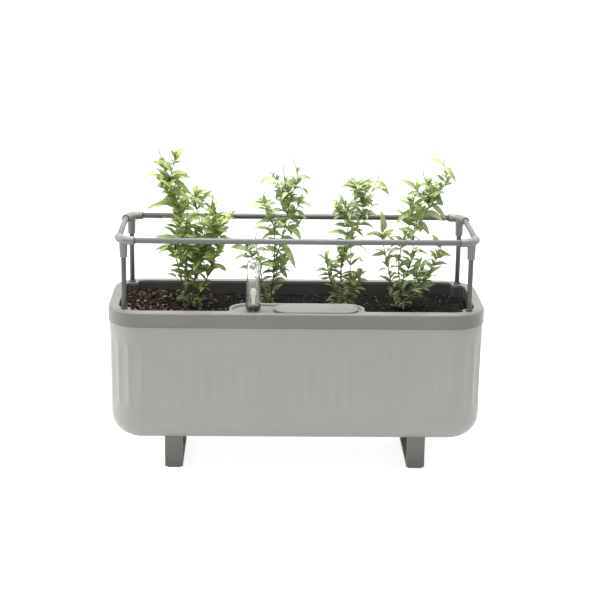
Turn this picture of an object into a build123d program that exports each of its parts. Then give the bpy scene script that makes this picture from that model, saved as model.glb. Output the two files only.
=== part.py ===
from build123d import *
import math
import os

# Self-watering planter for four indoor herbs.
# Frame: +X to the right along the length, +Y to the back, +Z up, origin on the ground under the middle.

# Overall sizes, in millimetres
planter_length = 520.0
planter_width = 192.0
plan_corner_radius = 47.0
pot_height = 187.0
foot_height = 49.0

# Outer pot
pot_wall = 3.0
pot_inset = 1.5
pot_draft_angle = 0.4
pot_bottom_radius = 34.0
outer_bend_steps = 5
inner_bend_steps = 2
band_height = 20.0
band_shadow_gap = 0.8

# Flutes round the outer pot
flute_pitch = 17.6
flute_land = 1.0
flute_depth = 0.8
flute_top_drop = 45.0
flute_bottom_drop = 134.0

# Inner liner with its rim
rim_width = 14.5
rim_thickness = 3.0
rim_outer_round = 2.6
rim_bend_steps = 3
skirt_wall = 2.0
liner_wall = 2.5
liner_floor_thickness = 3.0
liner_gap = 0.3
reservoir_height = 44.0
drain_slot_width = 4.0
drain_slot_length = 14.0
drain_pitch = 46.0
drain_row_inset = 22.0

# Filler well at the middle of the front
well_length = 177.0
well_width = 45.0
well_depth = 3.0
well_lip = 4.5
well_lip_depth = 9.0
well_front_web = 6.8
well_edge_round = 2.2
well_bend_steps = 2
well_flare_radius = 6.0
shelf_overlap = 1.0
deck_thickness = 2.5
mouth_length = 88.0
mouth_width = 24.0
mouth_corner_cut = 6.0

# Filler lid
lid_length = 117.0
lid_width = 42.0
lid_end_gap = 4.0
lid_proud = 0.8
lid_plate_thickness = 2.4
lid_edge_round = 0.9
lid_skirt_depth = 6.0
lid_skirt_wall = 1.6
lid_skirt_gap = 0.5

# Water level indicator
gauge_offset = 28.5
tube_foot_radius = 10.6
tube_head_radius = 9.3
tube_wall = 1.5
tube_top_rise = 69.6
tube_foot_rise = 5.0
tube_lip_height = 1.5
dome_ring_count = 4
collar_radius = 8.6
collar_neck_radius = 6.8
collar_neck_height = 4.0
collar_spigot_radius = 5.5
stem_radius = 2.2
stem_guide_gap = 0.3
bulb_radius = 4.0
bulb_foot_rise = 15.6
bulb_height = 13.3
bulb_ring_shares = [(0.0, 0.8), (0.4, 1.0), (0.75, 1.0), (1.0, 0.5)]
float_radius = 12.0
float_height = 22.0
float_rest_gap = 11.0
float_socket_depth = 8.0

# Posts, rails and corner connectors of the trellis
post_radius = 3.5
post_end_inset = 24.0
post_socket_depth = 28.0
boss_radius = 9.0
boss_outer_inset = 8.5
rail_radius = 4.0
rail_rise = 97.0
rail_offset = 7.0
elbow_radius = 5.9
elbow_bend_radius = 21.4
elbow_bend_steps = 5
elbow_ring_radius = 5.1
elbow_ring_length = 1.2
elbow_rail_socket = 6.0
sleeve_radius = 5.2
sleeve_foot_rise = 72.5
post_head_gap = 4.0
tube_fit = 0.05
socket_fit = 0.1

# Feet
foot_spacing = 341.0
foot_width = 25.0
foot_depth = 122.0
foot_bar = 6.0
foot_edge_round = 2.5
foot_tab_length = 24.0
foot_tab_thickness = 4.0
pad_thickness = 1.5
pad_inset = 3.0
screw_radius = 2.0
screw_head_radius = 4.0
screw_head_height = 2.2
screw_length = 12.0
screw_tab_gap = 0.2
screw_boss_radius = 5.5
screw_boss_height = 11.0

# Wick baskets and soil
basket_spacing = 310.0
basket_side = 56.0
basket_corner_cut = 5.0
basket_flange = 5.0
basket_flange_thickness = 2.0
basket_wall = 2.0
basket_rest_gap = 0.3
basket_hole_gap = 0.4
basket_slot_width = 3.0
basket_slot_height = 26.0
basket_slot_pitch = 13.0
basket_slot_count = 3
soil_drop = 20.0
soil_gap = 0.3

# Herbs
herb_height = 227.0
herb_row_y = 12.0
herb_places = [-150.0, -38.0, 68.0, 150.0]
crown_radius = 10.0
crown_height = 6.0
crown_gather_share = 0.4
twig_width = 3.0
twig_tip_share = 0.5
twig_core_share = 0.3
leaf_width_share = 0.3
leaf_width_limit = 8.5
leaf_thickness = 1.0
leaf_belly_share = 0.45
leaf_arch_share = 0.1
leaf_turn_share = 0.5

# Stems as shares of the herb height: stem they branch from, lean to the rear, then places across and up
herb_1_stem_shares = [
    (None, 0.03, [(-0.02, 0.04), (-0.09, 0.36), (-0.06, 0.6), (-0.13, 0.78), (-0.16, 0.88), (-0.19, 0.99)]),
    (0, 0.05, [(-0.13, 0.78), (-0.11, 0.85), (-0.08, 0.97)]),
    (None, -0.08, [(0.06, 0.09), (0.12, 0.22), (0.17, 0.39), (0.15, 0.55), (0.14, 0.69)]),
    (None, 0.1, [(0.02, 0.07), (0.04, 0.26), (0.09, 0.34), (0.08, 0.45), (0.03, 0.67), (0.07, 0.73)]),
    (None, -0.05, [(0.0, 0.04), (-0.02, 0.29), (-0.02, 0.46), (-0.01, 0.65)]),
]
herb_2_stem_shares = [
    (None, -0.06, [(0.01, 0.04), (0.03, 0.27), (0.03, 0.49), (0.01, 0.56), (-0.03, 0.66), (-0.04, 0.72)]),
    (None, 0.05, [(0.01, 0.04), (0.04, 0.29), (0.11, 0.59), (0.1, 0.74), (0.08, 0.87)]),
    (1, 0.07, [(0.11, 0.66), (0.09, 0.7), (0.02, 0.83)]),
    (1, 0.03, [(0.11, 0.66), (0.15, 0.75), (0.17, 0.81), (0.16, 0.88)]),
    (0, 0.1, [(0.02, 0.22), (0.04, 0.3), (0.08, 0.45), (0.16, 0.61), (0.21, 0.76)]),
    (0, -0.15, [(0.02, 0.18), (0.06, 0.26), (0.1, 0.3)]),
    (None, 0.08, [(-0.02, 0.04), (-0.07, 0.31), (-0.09, 0.43)]),
    (6, -0.02, [(-0.04, 0.11), (-0.11, 0.32), (-0.15, 0.4)]),
]
herb_3_stem_shares = [
    (None, 0.02, [(-0.01, 0.05), (-0.02, 0.28), (0.0, 0.34), (0.09, 0.56), (0.11, 0.64), (0.2, 0.82)]),
    (0, 0.05, [(0.11, 0.64), (0.08, 0.75), (0.02, 0.79)]),
    (0, -0.08, [(-0.01, 0.3), (0.02, 0.56), (-0.02, 0.68)]),
    (None, 0.08, [(-0.05, 0.05), (-0.08, 0.17), (-0.1, 0.23), (-0.12, 0.36)]),
    (None, 0.15, [(0.04, 0.06), (0.04, 0.19), (0.04, 0.4)]),
    (None, -0.1, [(0.03, 0.06), (0.08, 0.16), (0.11, 0.27)]),
    (2, 0.0, [(0.0, 0.6), (-0.06, 0.64)]),
]
herb_4_stem_shares = [
    (None, -0.05, [(-0.05, 0.05), (-0.07, 0.17), (-0.1, 0.31), (-0.13, 0.45), (-0.13, 0.54)]),
    (None, 0.1, [(0.0, 0.05), (-0.02, 0.3), (0.04, 0.52), (0.06, 0.66), (0.09, 0.76)]),
    (1, 0.0, [(0.0, 0.15), (0.06, 0.31), (0.07, 0.52), (0.15, 0.63), (0.16, 0.76), (0.13, 0.81)]),
    (None, 0.08, [(0.07, 0.08), (0.16, 0.2), (0.21, 0.3), (0.24, 0.39)]),
    (2, 0.05, [(0.15, 0.67), (0.17, 0.72), (0.22, 0.75), (0.26, 0.81), (0.24, 0.91)]),
    (None, -0.15, [(0.05, 0.11), (0.07, 0.17), (0.08, 0.24)]),
    (None, 0.15, [(0.08, 0.1), (0.12, 0.18), (0.13, 0.23)]),
]

# Leaves in the same shares, a row for each stem: height on the stem, then the tip's reach across and up
herb_1_leaf_shares = [
    [(0.09, -0.04, -0.05), (0.2, -0.08, 0.03), (0.37, -0.11, -0.02), (0.43, -0.14, 0.0), (0.53, -0.11, 0.05),
     (0.62, -0.04, 0.06), (0.64, -0.19, 0.0), (0.74, -0.09, 0.01), (0.77, -0.08, 0.0), (0.8, -0.17, 0.0),
     (0.87, -0.06, 0.05), (0.88, 0.02, 0.03)],
    [(0.8, 0.1, 0.03), (0.8, 0.14, 0.0), (0.81, 0.13, -0.08), (0.83, 0.05, 0.02), (0.9, -0.02, 0.03),
     (0.9, 0.05, 0.01)],
    [(0.1, 0.04, 0.05), (0.28, 0.1, -0.06), (0.62, 0.0, 0.08), (0.64, 0.04, 0.05)],
    [(0.12, 0.03, 0.03), (0.23, 0.02, 0.05), (0.31, -0.02, 0.02), (0.49, 0.08, -0.04), (0.54, 0.12, 0.02),
     (0.66, 0.03, 0.08), (0.66, 0.06, -0.04), (0.69, 0.06, 0.04), (0.71, 0.13, -0.05)],
    [(0.19, -0.03, 0.05), (0.32, 0.07, 0.02), (0.59, 0.24, -0.02), (0.64, -0.04, 0.13)],
]
herb_2_leaf_shares = [
    [(0.1, -0.04, 0.03), (0.33, -0.07, -0.02), (0.33, 0.03, 0.0), (0.49, -0.14, 0.01), (0.49, -0.08, -0.04),
     (0.56, -0.1, -0.03), (0.59, 0.06, 0.06), (0.65, -0.08, -0.01), (0.67, -0.11, 0.0), (0.68, -0.01, 0.05),
     (0.68, 0.01, 0.04)],
    [(0.17, 0.09, -0.01), (0.58, -0.06, -0.07), (0.64, -0.06, 0.01), (0.64, -0.03, 0.05), (0.76, 0.03, 0.04)],
    [(0.76, -0.02, -0.08), (0.79, -0.05, -0.03), (0.82, -0.09, -0.03), (0.82, -0.03, 0.03),
     (0.82, 0.01, 0.04)],
    [(0.75, -0.03, 0.02), (0.8, -0.03, 0.04), (0.81, 0.08, -0.01)],
    [(0.24, -0.07, 0.05), (0.35, -0.11, 0.0), (0.36, 0.03, -0.04), (0.36, 0.08, 0.01), (0.42, 0.09, -0.15),
     (0.5, 0.03, -0.08), (0.52, 0.08, -0.08), (0.57, 0.04, -0.07), (0.62, 0.07, -0.06), (0.64, 0.06, -0.05),
     (0.67, 0.08, -0.02), (0.75, 0.03, -0.04)],
    [(0.26, 0.05, 0.04), (0.26, 0.06, -0.09)],
    [(0.34, 0.03, 0.03)],
    [(0.24, -0.12, 0.0), (0.32, -0.11, 0.0), (0.36, -0.12, 0.01)],
]
herb_3_leaf_shares = [
    [(0.16, 0.03, 0.04), (0.24, -0.03, -0.05), (0.5, 0.05, -0.04), (0.57, 0.04, -0.03), (0.58, 0.1, 0.03),
     (0.64, 0.07, 0.08), (0.74, 0.09, 0.04), (0.8, -0.06, -0.04), (0.81, 0.07, -0.08)],
    [(0.75, -0.05, 0.03), (0.76, -0.04, 0.06), (0.76, -0.01, -0.06), (0.76, 0.05, 0.07)],
    [(0.4, -0.09, -0.1), (0.48, -0.12, 0.02), (0.48, -0.05, -0.01), (0.61, -0.08, -0.03), (0.66, -0.03, 0.07),
     (0.67, -0.03, 0.01), (0.67, 0.02, -0.04)],
    [(0.1, 0.01, -0.04), (0.13, -0.06, 0.01), (0.23, -0.08, 0.01), (0.24, 0.07, 0.03), (0.29, -0.06, 0.06),
     (0.29, 0.02, 0.08)],
    [(0.12, 0.01, -0.03), (0.17, 0.02, -0.02), (0.23, 0.06, -0.04), (0.3, 0.02, 0.04), (0.38, 0.11, -0.02)],
    [(0.18, 0.07, -0.01), (0.19, 0.0, 0.08), (0.21, 0.05, 0.03)],
    [(0.61, -0.06, 0.02), (0.62, -0.07, -0.03), (0.63, 0.03, 0.09)],
]
herb_4_leaf_shares = [
    [(0.14, -0.01, -0.06), (0.15, -0.03, -0.04), (0.25, -0.07, 0.0), (0.35, -0.08, 0.02), (0.45, -0.11, 0.04),
     (0.45, 0.08, 0.06), (0.5, -0.02, 0.14)],
    [(0.11, -0.06, -0.05), (0.11, 0.03, -0.01), (0.2, -0.05, -0.03), (0.2, 0.04, 0.0), (0.33, -0.06, -0.02),
     (0.34, -0.03, -0.05), (0.36, 0.07, -0.05), (0.37, -0.1, -0.03), (0.52, -0.05, 0.07), (0.52, 0.0, 0.1),
     (0.54, 0.08, 0.04), (0.61, -0.1, -0.07), (0.66, -0.06, 0.04), (0.74, -0.12, 0.09)],
    [(0.26, 0.03, -0.05), (0.35, 0.09, 0.01), (0.56, 0.01, -0.09), (0.56, 0.06, -0.08), (0.61, 0.07, 0.04),
     (0.62, 0.1, -0.05), (0.68, 0.13, -0.14), (0.78, -0.02, 0.06), (0.79, -0.08, -0.05), (0.8, 0.04, 0.04)],
    [(0.13, 0.08, -0.03), (0.28, -0.05, 0.04), (0.28, 0.06, -0.01), (0.33, -0.03, 0.02), (0.33, 0.1, -0.01),
     (0.37, 0.06, -0.03), (0.38, -0.05, 0.08), (0.38, 0.08, 0.06)],
    [(0.69, -0.09, 0.03), (0.71, 0.08, 0.04), (0.74, 0.05, -0.11), (0.82, 0.05, 0.02), (0.9, -0.1, 0.03),
     (0.9, 0.07, -0.08)],
    [(0.22, 0.08, -0.03), (0.23, -0.02, 0.07), (0.23, 0.05, 0.1)],
    [(0.14, 0.02, -0.08), (0.22, 0.02, 0.08)],
]
herb_stem_shares = [herb_1_stem_shares, herb_2_stem_shares, herb_3_stem_shares, herb_4_stem_shares]
herb_leaf_shares = [herb_1_leaf_shares, herb_2_leaf_shares, herb_3_leaf_shares, herb_4_leaf_shares]

# One overrun serves every cut
overrun = 10.0

# Small rounds and hidden ones have flat sides, so that the part stays light
hidden_round_sides = 8
small_round_sides = 16

# Heights and places that follow from the sizes above
rim_top = foot_height + pot_height
rim_under = rim_top - rim_thickness
band_bottom = rim_top - band_height
pot_floor = foot_height + pot_wall
liner_under = pot_floor + reservoir_height
liner_floor = liner_under + liner_floor_thickness
liner_outer_inset = rim_width - liner_wall
neck_inset = skirt_wall + liner_gap
well_floor = rim_top - well_depth
deck_bottom = well_floor - deck_thickness
well_centre_y = -planter_width / 2 + well_front_web + well_width / 2
lid_centre_x = well_length / 2 - lid_end_gap - lid_length / 2
gauge_x = -well_length / 2 + gauge_offset
post_x = planter_length / 2 - post_end_inset
post_y = planter_width / 2 - post_end_inset
post_foot = rim_top - post_socket_depth
rail_x = post_x + rail_offset
rail_y = post_y + rail_offset
rail_z = rim_top + rail_rise
post_head = rail_z - post_head_gap
basket_bottom = pot_floor + basket_rest_gap
float_bottom = pot_floor + float_rest_gap
soil_top = rim_top - soil_drop
corner_signs = [(-1, -1), (1, -1), (-1, 1), (1, 1)]
side_signs = [-1, 1]

# Which end of a cylinder or cone stands at its place
SEAT = (Align.CENTER, Align.CENTER, Align.MIN)


def plan(inset):
    """The planter's plan, a rounded rectangle drawn in by an inset."""
    length = planter_length - 2 * inset
    width = planter_width - 2 * inset
    return RectangleRounded(length, width, plan_corner_radius - inset)


def block(inset, top, bottom):
    """A block of the plan between two heights."""
    return prism(plan(inset), bottom, top)


def prism(outline, bottom, top):
    """An upright prism of an outline between two heights."""
    return extrude(Plane.XY.offset(bottom) * outline, amount=top - bottom)


def well_slot(growth, centre_x=0, length=well_length, width=well_width):
    """A full-round slot outline on the filler well's line, grown all round."""
    return Pos(centre_x, well_centre_y) * SlotOverall(length + 2 * growth, width + 2 * growth)


def mouth_block(growth, bottom, top):
    """A block on the filler mouth's outline, a rectangle with cut corners, grown all round."""
    outline = Rectangle(mouth_length + 2 * growth, mouth_width + 2 * growth)
    outline = chamfer(outline.vertices(), mouth_corner_cut)
    return Pos(lid_centre_x, well_centre_y) * prism(outline, bottom, top)


def hidden_round(radius, bottom, top):
    """A small hidden round whose flat sides touch its circle from outside."""
    return prism(RegularPolygon(radius, hidden_round_sides, major_radius=False), bottom, top)


def quarter_round(radius, steps):
    """Even steps along a quarter round, as its draw-in and its rise from the upright end."""
    turns = [math.radians(90 * i / steps) for i in range(steps + 1)]
    return [(radius * (1 - math.cos(turn)), radius * math.sin(turn)) for turn in turns]


def banded(outline, places):
    """A solid of sloping bands between places, each the draw-in of an outline and its height."""
    body = Part()
    for (draw, height), (next_draw, next_height) in zip(places, places[1:]):
        rise = next_height - height
        slope = math.degrees(math.atan2(next_draw - draw, abs(rise)))
        body += extrude(Pos(0, 0, height) * outline(draw), amount=rise, taper=slope)
    return body


def tray(inset, drawn_in, top, bottom, bend_radius, bend_steps):
    """A block with a round lower edge; its wall leans in as it goes down."""
    places = [(inset, top)]
    for draw, rise in quarter_round(bend_radius, bend_steps):
        places.append((inset + drawn_in + draw, bottom + bend_radius - rise))
    return banded(plan, places)


def faceted(rings):
    """A solid of flat faces between rings of points; a ring of one point is a tip."""
    faces = []
    for low, high in zip(rings, rings[1:]):
        for i in range(max(len(low), len(high))):
            corners = [low[i % len(low)], high[i % len(high)]]
            if len(high) > 1:
                corners.append(high[(i + 1) % len(high)])
            if len(low) > 1:
                corners.append(low[(i + 1) % len(low)])
            faces.append(make_face(Polyline(*corners, close=True)))
    faces += [make_face(Polyline(*end, close=True)) for end in (rings[0], rings[-1]) if len(end) > 1]
    return Solid(Shell(faces))


def ring_of(centre, radius, sides):
    """The corners of a level regular polygon whose flat sides touch its circle from outside."""
    reach = radius / math.cos(math.pi / sides)
    turns = [2 * math.pi * (i + 0.5) / sides for i in range(sides)]
    return [centre + Vector(math.cos(turn), math.sin(turn), 0) * reach for turn in turns]


def stack(places):
    """An upright piece with many flat sides, from places of radius and height."""
    return faceted([ring_of(Vector(0, 0, height), radius, small_round_sides) for radius, height in places])


def outline_stations():
    """Even stations round the pot: turn, run along the side, swing round the corner."""
    half_x = planter_length / 2 - plan_corner_radius
    half_y = planter_width / 2 - plan_corner_radius
    bend = plan_corner_radius - pot_inset
    bend_count = round(math.pi / 2 * bend / flute_pitch)
    stations = []
    sides = [(0, half_x, half_y), (90, half_y, half_x), (180, half_x, half_y), (270, half_y, half_x)]
    for turn, half_run, standoff in sides:
        count = round(2 * half_run / flute_pitch)
        step = 2 * half_run / count
        stations += [(turn, (i + 0.5) * step - half_run, standoff, 0) for i in range(count)]
        stations += [(turn, half_run, standoff, 90 * (i + 0.5) / bend_count) for i in range(bend_count)]
    return stations


def flute_cutters():
    """Round cutters for the shallow flutes, leaning with the drafted wall."""
    half_width = (flute_pitch - flute_land) / 2
    radius = (half_width ** 2 + flute_depth ** 2) / (2 * flute_depth)
    bend = plan_corner_radius - pot_inset
    bend_depth = half_width ** 2 / 2 * (1 / radius + 1 / bend)
    middle_drop = (flute_top_drop + flute_bottom_drop) / 2
    drawn_in = (middle_drop - rim_thickness) * math.tan(math.radians(pot_draft_angle))
    cutter = Cylinder(radius, flute_bottom_drop - flute_top_drop)
    cutters = []
    for turn, along, standoff, swing in outline_stations():
        reach = bend - drawn_in + radius - (bend_depth if swing else flute_depth)
        place = Pos(along, -standoff, rim_top - middle_drop) * Rot(0, 0, swing) * Pos(0, -reach, 0)
        cutters.append(Rot(0, 0, turn) * place * Rot(pot_draft_angle, 0, 0) * cutter)
    return cutters


def screw_places():
    """Where the four screws go up through the foot tabs."""
    reach = foot_depth / 2 - foot_bar - foot_tab_length / 2
    return [(sx * foot_spacing / 2, sy * reach) for sx, sy in corner_signs]


def outer_pot():
    """The drafted, fluted shell that holds the water."""
    drawn_in = (rim_under - foot_height - pot_bottom_radius) * math.tan(math.radians(pot_draft_angle))
    inner_inset = pot_inset + drawn_in + pot_wall
    shell = tray(pot_inset, drawn_in, rim_under, foot_height, pot_bottom_radius, outer_bend_steps)
    inner_radius = pot_bottom_radius - pot_wall
    hollow = tray(inner_inset, 0, rim_under + overrun, pot_floor, inner_radius, inner_bend_steps)
    neck_foot = band_bottom - band_shadow_gap
    rebate = block(-overrun, rim_under + overrun, neck_foot)
    rebate -= block(neck_inset, rim_under + overrun, neck_foot)
    shell = shell - hollow - rebate - flute_cutters()
    hole_top = foot_height - foot_tab_thickness + screw_length + tube_fit
    for x, y in screw_places():
        shell += Pos(x, y) * hidden_round(screw_boss_radius, pot_floor, pot_floor + screw_boss_height)
        shell -= Pos(x, y) * hidden_round(screw_radius + tube_fit, foot_height, hole_top)
    return shell


def post_cylinders(radius, bottom, top):
    """One upright cylinder on each post's axis."""
    post = Cylinder(radius, top - bottom, align=SEAT)
    return [Pos(sx * post_x, sy * post_y, bottom) * post for sx, sy in corner_signs]


def basket_places():
    """The middle of each wick basket along the length."""
    return [side * basket_spacing / 2 for side in side_signs]


def drain_places():
    """Rows of drain slots in the liner's floor, clear of the baskets and of the shaft."""
    count = int(planter_length / drain_pitch / 2) - 1
    row_y = planter_width / 2 - rim_width - drain_row_inset
    shaft_half = well_length / 2 + well_lip + drain_slot_width
    clear = basket_side / 2 + basket_flange + drain_slot_width
    spots = [(i * drain_pitch, side * row_y) for i in range(-count, count + 1) for side in side_signs]
    spots = [(x, y) for x, y in spots if y > 0 or abs(x) > shaft_half]
    if row_y > clear + drain_slot_length / 2:
        return spots
    return [(x, y) for x, y in spots if all(abs(x - place_x) > clear for place_x in basket_places())]


def rim_band():
    """The rim plate with its rounded edge and the skirt that hides the pot's edge."""
    places = [(0, band_bottom)]
    round_foot = rim_top - rim_outer_round
    places += [(draw, round_foot + rise) for draw, rise in quarter_round(rim_outer_round, rim_bend_steps)]
    return banded(plan, places) - block(skirt_wall, rim_under, band_bottom - overrun)


def planting_outline():
    """The opening in the rim, less the corner bosses and the lip round the filler well."""
    outline = plan(rim_width)
    outline -= [Pos(sx * post_x, sy * post_y) * Circle(boss_radius) for sx, sy in corner_signs]
    outline -= well_slot(well_lip)
    tiny = soil_gap / 10
    rim_line = rim_width - planter_width / 2
    lip_corners = [v for v in outline.vertices() if abs(v.Y - rim_line) < tiny and abs(v.X) < post_x / 2]
    return fillet(lip_corners, well_flare_radius)


def planting_space():
    """The room for soil inside the liner."""
    ledge = rim_top - well_lip_depth
    room = block(rim_width, ledge, liner_floor)
    room -= post_cylinders(boss_radius, liner_floor - overrun, rim_top)
    room -= prism(well_slot(liner_wall), liner_floor - overrun, ledge)
    return room + prism(planting_outline(), ledge, rim_top + overrun)


def well_recess():
    """The sunk floor of the filler well, with a rounded edge in the rim."""
    places = [(0, well_floor)]
    for draw, rise in quarter_round(well_edge_round, well_bend_steps):
        places.append((-draw, rim_top - well_edge_round + rise))
    return banded(lambda draw: well_slot(-draw), places + [(-well_edge_round, rim_top + overrun)])


def filler_duct():
    """The way from the filler well down to the water."""
    duct = prism(well_slot(0), liner_under - overrun, deck_bottom)
    duct &= block(rim_width, rim_top, liner_under - overrun)
    mouth = mouth_block(0, deck_bottom - overrun, rim_top)
    spigot = collar_spigot_radius + tube_fit
    return [duct, mouth, at_gauge(stack([(spigot, deck_bottom - overrun), (spigot, rim_top)]))]


def inner_liner():
    """The planting tray in one moulding: rim, walls, floor, corner bosses and filler shaft."""
    body = rim_band() + block(liner_outer_inset, rim_under, liner_under)
    bosses = Part() + post_cylinders(boss_radius, liner_under, rim_under)
    body += bosses & block(boss_outer_inset, rim_top, liner_under)
    body += prism(well_slot(shelf_overlap), deck_bottom, rim_under)
    body -= planting_space()
    body -= well_recess()
    body -= filler_duct()
    socket = hidden_round(post_radius + socket_fit, post_foot, rim_top + overrun)
    body -= [Pos(sx * post_x, sy * post_y) * socket for sx, sy in corner_signs]
    hole_side = basket_side + 2 * basket_hole_gap
    basket_hole = square_block(hole_side, basket_corner_cut, liner_under - overrun, liner_floor + overrun)
    body -= [Pos(x, 0) * basket_hole for x in basket_places()]
    drain = Box(drain_slot_width, drain_slot_length, liner_floor_thickness + overrun)
    body -= [Pos(x, y, liner_floor) * drain for x, y in drain_places()]
    return body


def square_block(side, corner_cut, bottom, top):
    """A square block with cut corners between two heights."""
    outline = Rectangle(side, side)
    return prism(chamfer(outline.vertices(), corner_cut), bottom, top)


def wick_basket(place_x):
    """A slotted basket that hangs through the liner's floor into the water."""
    flange_top = liner_floor + basket_flange_thickness
    body = square_block(basket_side, basket_corner_cut, basket_bottom, liner_floor)
    body += square_block(basket_side + 2 * basket_flange, basket_corner_cut, liner_floor, flange_top)
    inner_side = basket_side - 2 * basket_wall
    inner_cut = basket_corner_cut - basket_wall / 2
    body -= square_block(inner_side, inner_cut, basket_bottom + basket_wall, flange_top)
    slot = Box(basket_slot_width, planter_width, basket_slot_height)
    height = (liner_under + basket_bottom) / 2
    for i in range(basket_slot_count):
        along = (i - (basket_slot_count - 1) / 2) * basket_slot_pitch
        body -= Pos(along, 0, height) * slot
        body -= Pos(0, along, height) * Rot(0, 0, 90) * slot
    return Pos(place_x, 0, 0) * body


def soil():
    """The potting soil, with a plug down into each wick basket."""
    body = block(rim_width + soil_gap, soil_top, liner_floor)
    body -= post_cylinders(boss_radius + soil_gap, liner_floor - overrun, rim_top)
    body -= prism(well_slot(liner_wall + soil_gap), liner_floor - overrun, rim_top)
    flange_side = basket_side + 2 * (basket_flange + soil_gap)
    flange_top = liner_floor + basket_flange_thickness + soil_gap
    flange = square_block(flange_side, basket_corner_cut, liner_floor - overrun, flange_top)
    plug_side = basket_side - 2 * (basket_wall + soil_gap)
    plug_foot = basket_bottom + basket_wall + soil_gap
    plug = square_block(plug_side, basket_corner_cut - basket_wall / 2, plug_foot, flange_top)
    for x in basket_places():
        body -= Pos(x, 0) * flange
        body += Pos(x, 0) * plug
    return body


def stem_paths(base_x, stem_shares):
    """The middle line of every stem of one herb; a branch starts on the stem it grows from."""
    paths = []
    for parent, lean_share, places in stem_shares:
        if parent is None:
            start = Vector(base_x + crown_gather_share * places[0][0] * herb_height, herb_row_y, soil_top)
        else:
            start = on_path(paths[parent], soil_top + places[0][1] * herb_height)
            places = places[1:]
        path = [start]
        for across_share, rise_share in places:
            rise = soil_top + rise_share * herb_height
            lean = lean_share * (rise - start.Z)
            path.append(Vector(base_x + across_share * herb_height, start.Y + lean, rise))
        paths.append(path)
    return paths


def on_path(path, height):
    """The place on a stem's middle line at a height."""
    for low, high in zip(path, path[1:]):
        if height <= high.Z:
            return low + (high - low) * ((height - low.Z) / (high.Z - low.Z))
    return path[-1]


def stem(path):
    """A three-sided stem that tapers along its path."""
    rings = []
    for place in path:
        grown = (place.Z - path[0].Z) / (path[-1].Z - path[0].Z)
        width = twig_width * (1 - grown * (1 - twig_tip_share))
        rings.append(ring_of(place, width * twig_core_share, 3))
    return faceted(rings)


def leaf(base, reach):
    """A pointed, arched leaf with a keel, from its base to its tip, widest before the middle."""
    along = reach.normalized()
    across = along.cross(Vector(0, -leaf_belly_share, 1)).normalized()
    upward = across.cross(along)
    belly = base + reach * leaf_belly_share + upward * (reach.length * leaf_arch_share)
    half = across * (min(reach.length * leaf_width_share, leaf_width_limit) / 2)
    return faceted([[base], [belly + half, belly - upward * leaf_thickness, belly - half], [base + reach]])


def herb(number):
    """One herb in a single piece: a crown on the soil, its stems and their leaves."""
    paths = stem_paths(herb_places[number], herb_stem_shares[number])
    pieces = [stem(path) for path in paths]
    side = 1
    for path, leaves in zip(paths, herb_leaf_shares[number]):
        for rise_share, across_share, up_share in leaves:
            side = -side
            turn_share = side * leaf_turn_share * math.hypot(across_share, up_share)
            reach = Vector(across_share, turn_share, up_share) * herb_height
            pieces.append(leaf(on_path(path, soil_top + rise_share * herb_height), reach))
    foot = Vector(herb_places[number], herb_row_y, soil_top)
    head = foot + Vector(0, 0, crown_height)
    sides = hidden_round_sides
    return faceted([ring_of(foot, crown_radius, sides), ring_of(head, crown_radius / 2, sides)]) + pieces


def filler_lid():
    """The loose lid over the filler mouth, with a skirt that locates it."""
    top = rim_top + lid_proud
    plate = prism(well_slot(0, lid_centre_x, lid_length, lid_width), well_floor, top)
    top_edges = plate.faces().sort_by(Axis.Z)[-1].edges()
    plate = chamfer(top_edges, lid_edge_round)
    skirt_foot = well_floor - lid_skirt_depth
    pocket_inset = lid_skirt_gap + lid_skirt_wall
    plate += mouth_block(-lid_skirt_gap, skirt_foot, well_floor)
    return plate - mouth_block(-pocket_inset, skirt_foot - overrun, top - lid_plate_thickness)


def dome_places(radius, top):
    """Radius and height of the rings of a round dome, from its shoulder to a small flat crown."""
    rings = quarter_round(radius, dome_ring_count)[:-1]
    return [(radius - draw, top - rings[-1][1] + rise) for draw, rise in rings]


def at_gauge(body):
    """Stand a turned piece on the level indicator's axis."""
    return Pos(gauge_x, well_centre_y, 0) * body


def level_tube():
    """The clear domed tube that the level bulb rises in."""
    foot = rim_top + tube_foot_rise
    lip = foot + tube_lip_height
    top = rim_top + tube_top_rise
    outside = stack([(tube_foot_radius, foot)] + dome_places(tube_head_radius, top))
    inner_dome = dome_places(tube_head_radius - tube_wall, top - tube_wall)
    inside = stack([(tube_foot_radius - tube_wall, lip)] + inner_dome)
    neck = collar_neck_radius + tube_fit
    return at_gauge(outside - inside - stack([(neck, foot - overrun), (neck, lip + overrun)]))


def level_collar():
    """The dark socket that holds the tube and guides the float's stem."""
    seat = rim_top + tube_foot_rise
    steps = [
        (collar_spigot_radius, deck_bottom, well_floor),
        (collar_radius, well_floor, seat),
        (collar_neck_radius, seat, seat + collar_neck_height),
    ]
    body = Part() + [stack([(radius, low), (radius, high)]) for radius, low, high in steps]
    return at_gauge(body - hidden_round(stem_radius + stem_guide_gap, deck_bottom - overrun, seat + overrun))


def float_stem():
    """The rod that joins the float to the level bulb."""
    bottom = float_bottom + float_height - float_socket_depth
    return at_gauge(stack([(stem_radius, bottom), (stem_radius, rim_top + bulb_foot_rise)]))


def level_bulb():
    """The pale bulb on the stem that shows the water level."""
    foot = rim_top + bulb_foot_rise
    places = [(bulb_radius * wide, foot + bulb_height * high) for high, wide in bulb_ring_shares]
    return at_gauge(stack(places))


def water_float():
    """The float that rides on the water in the reservoir."""
    top = float_bottom + float_height
    body = stack([(float_radius, float_bottom), (float_radius, top)])
    return at_gauge(body - hidden_round(stem_radius + tube_fit, top - float_socket_depth, top + overrun))


def post(sx, sy):
    """An upright trellis post, from its socket in the rim to the connector above."""
    return Pos(sx * post_x, sy * post_y) * stack([(post_radius, post_foot), (post_radius, post_head)])


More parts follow.
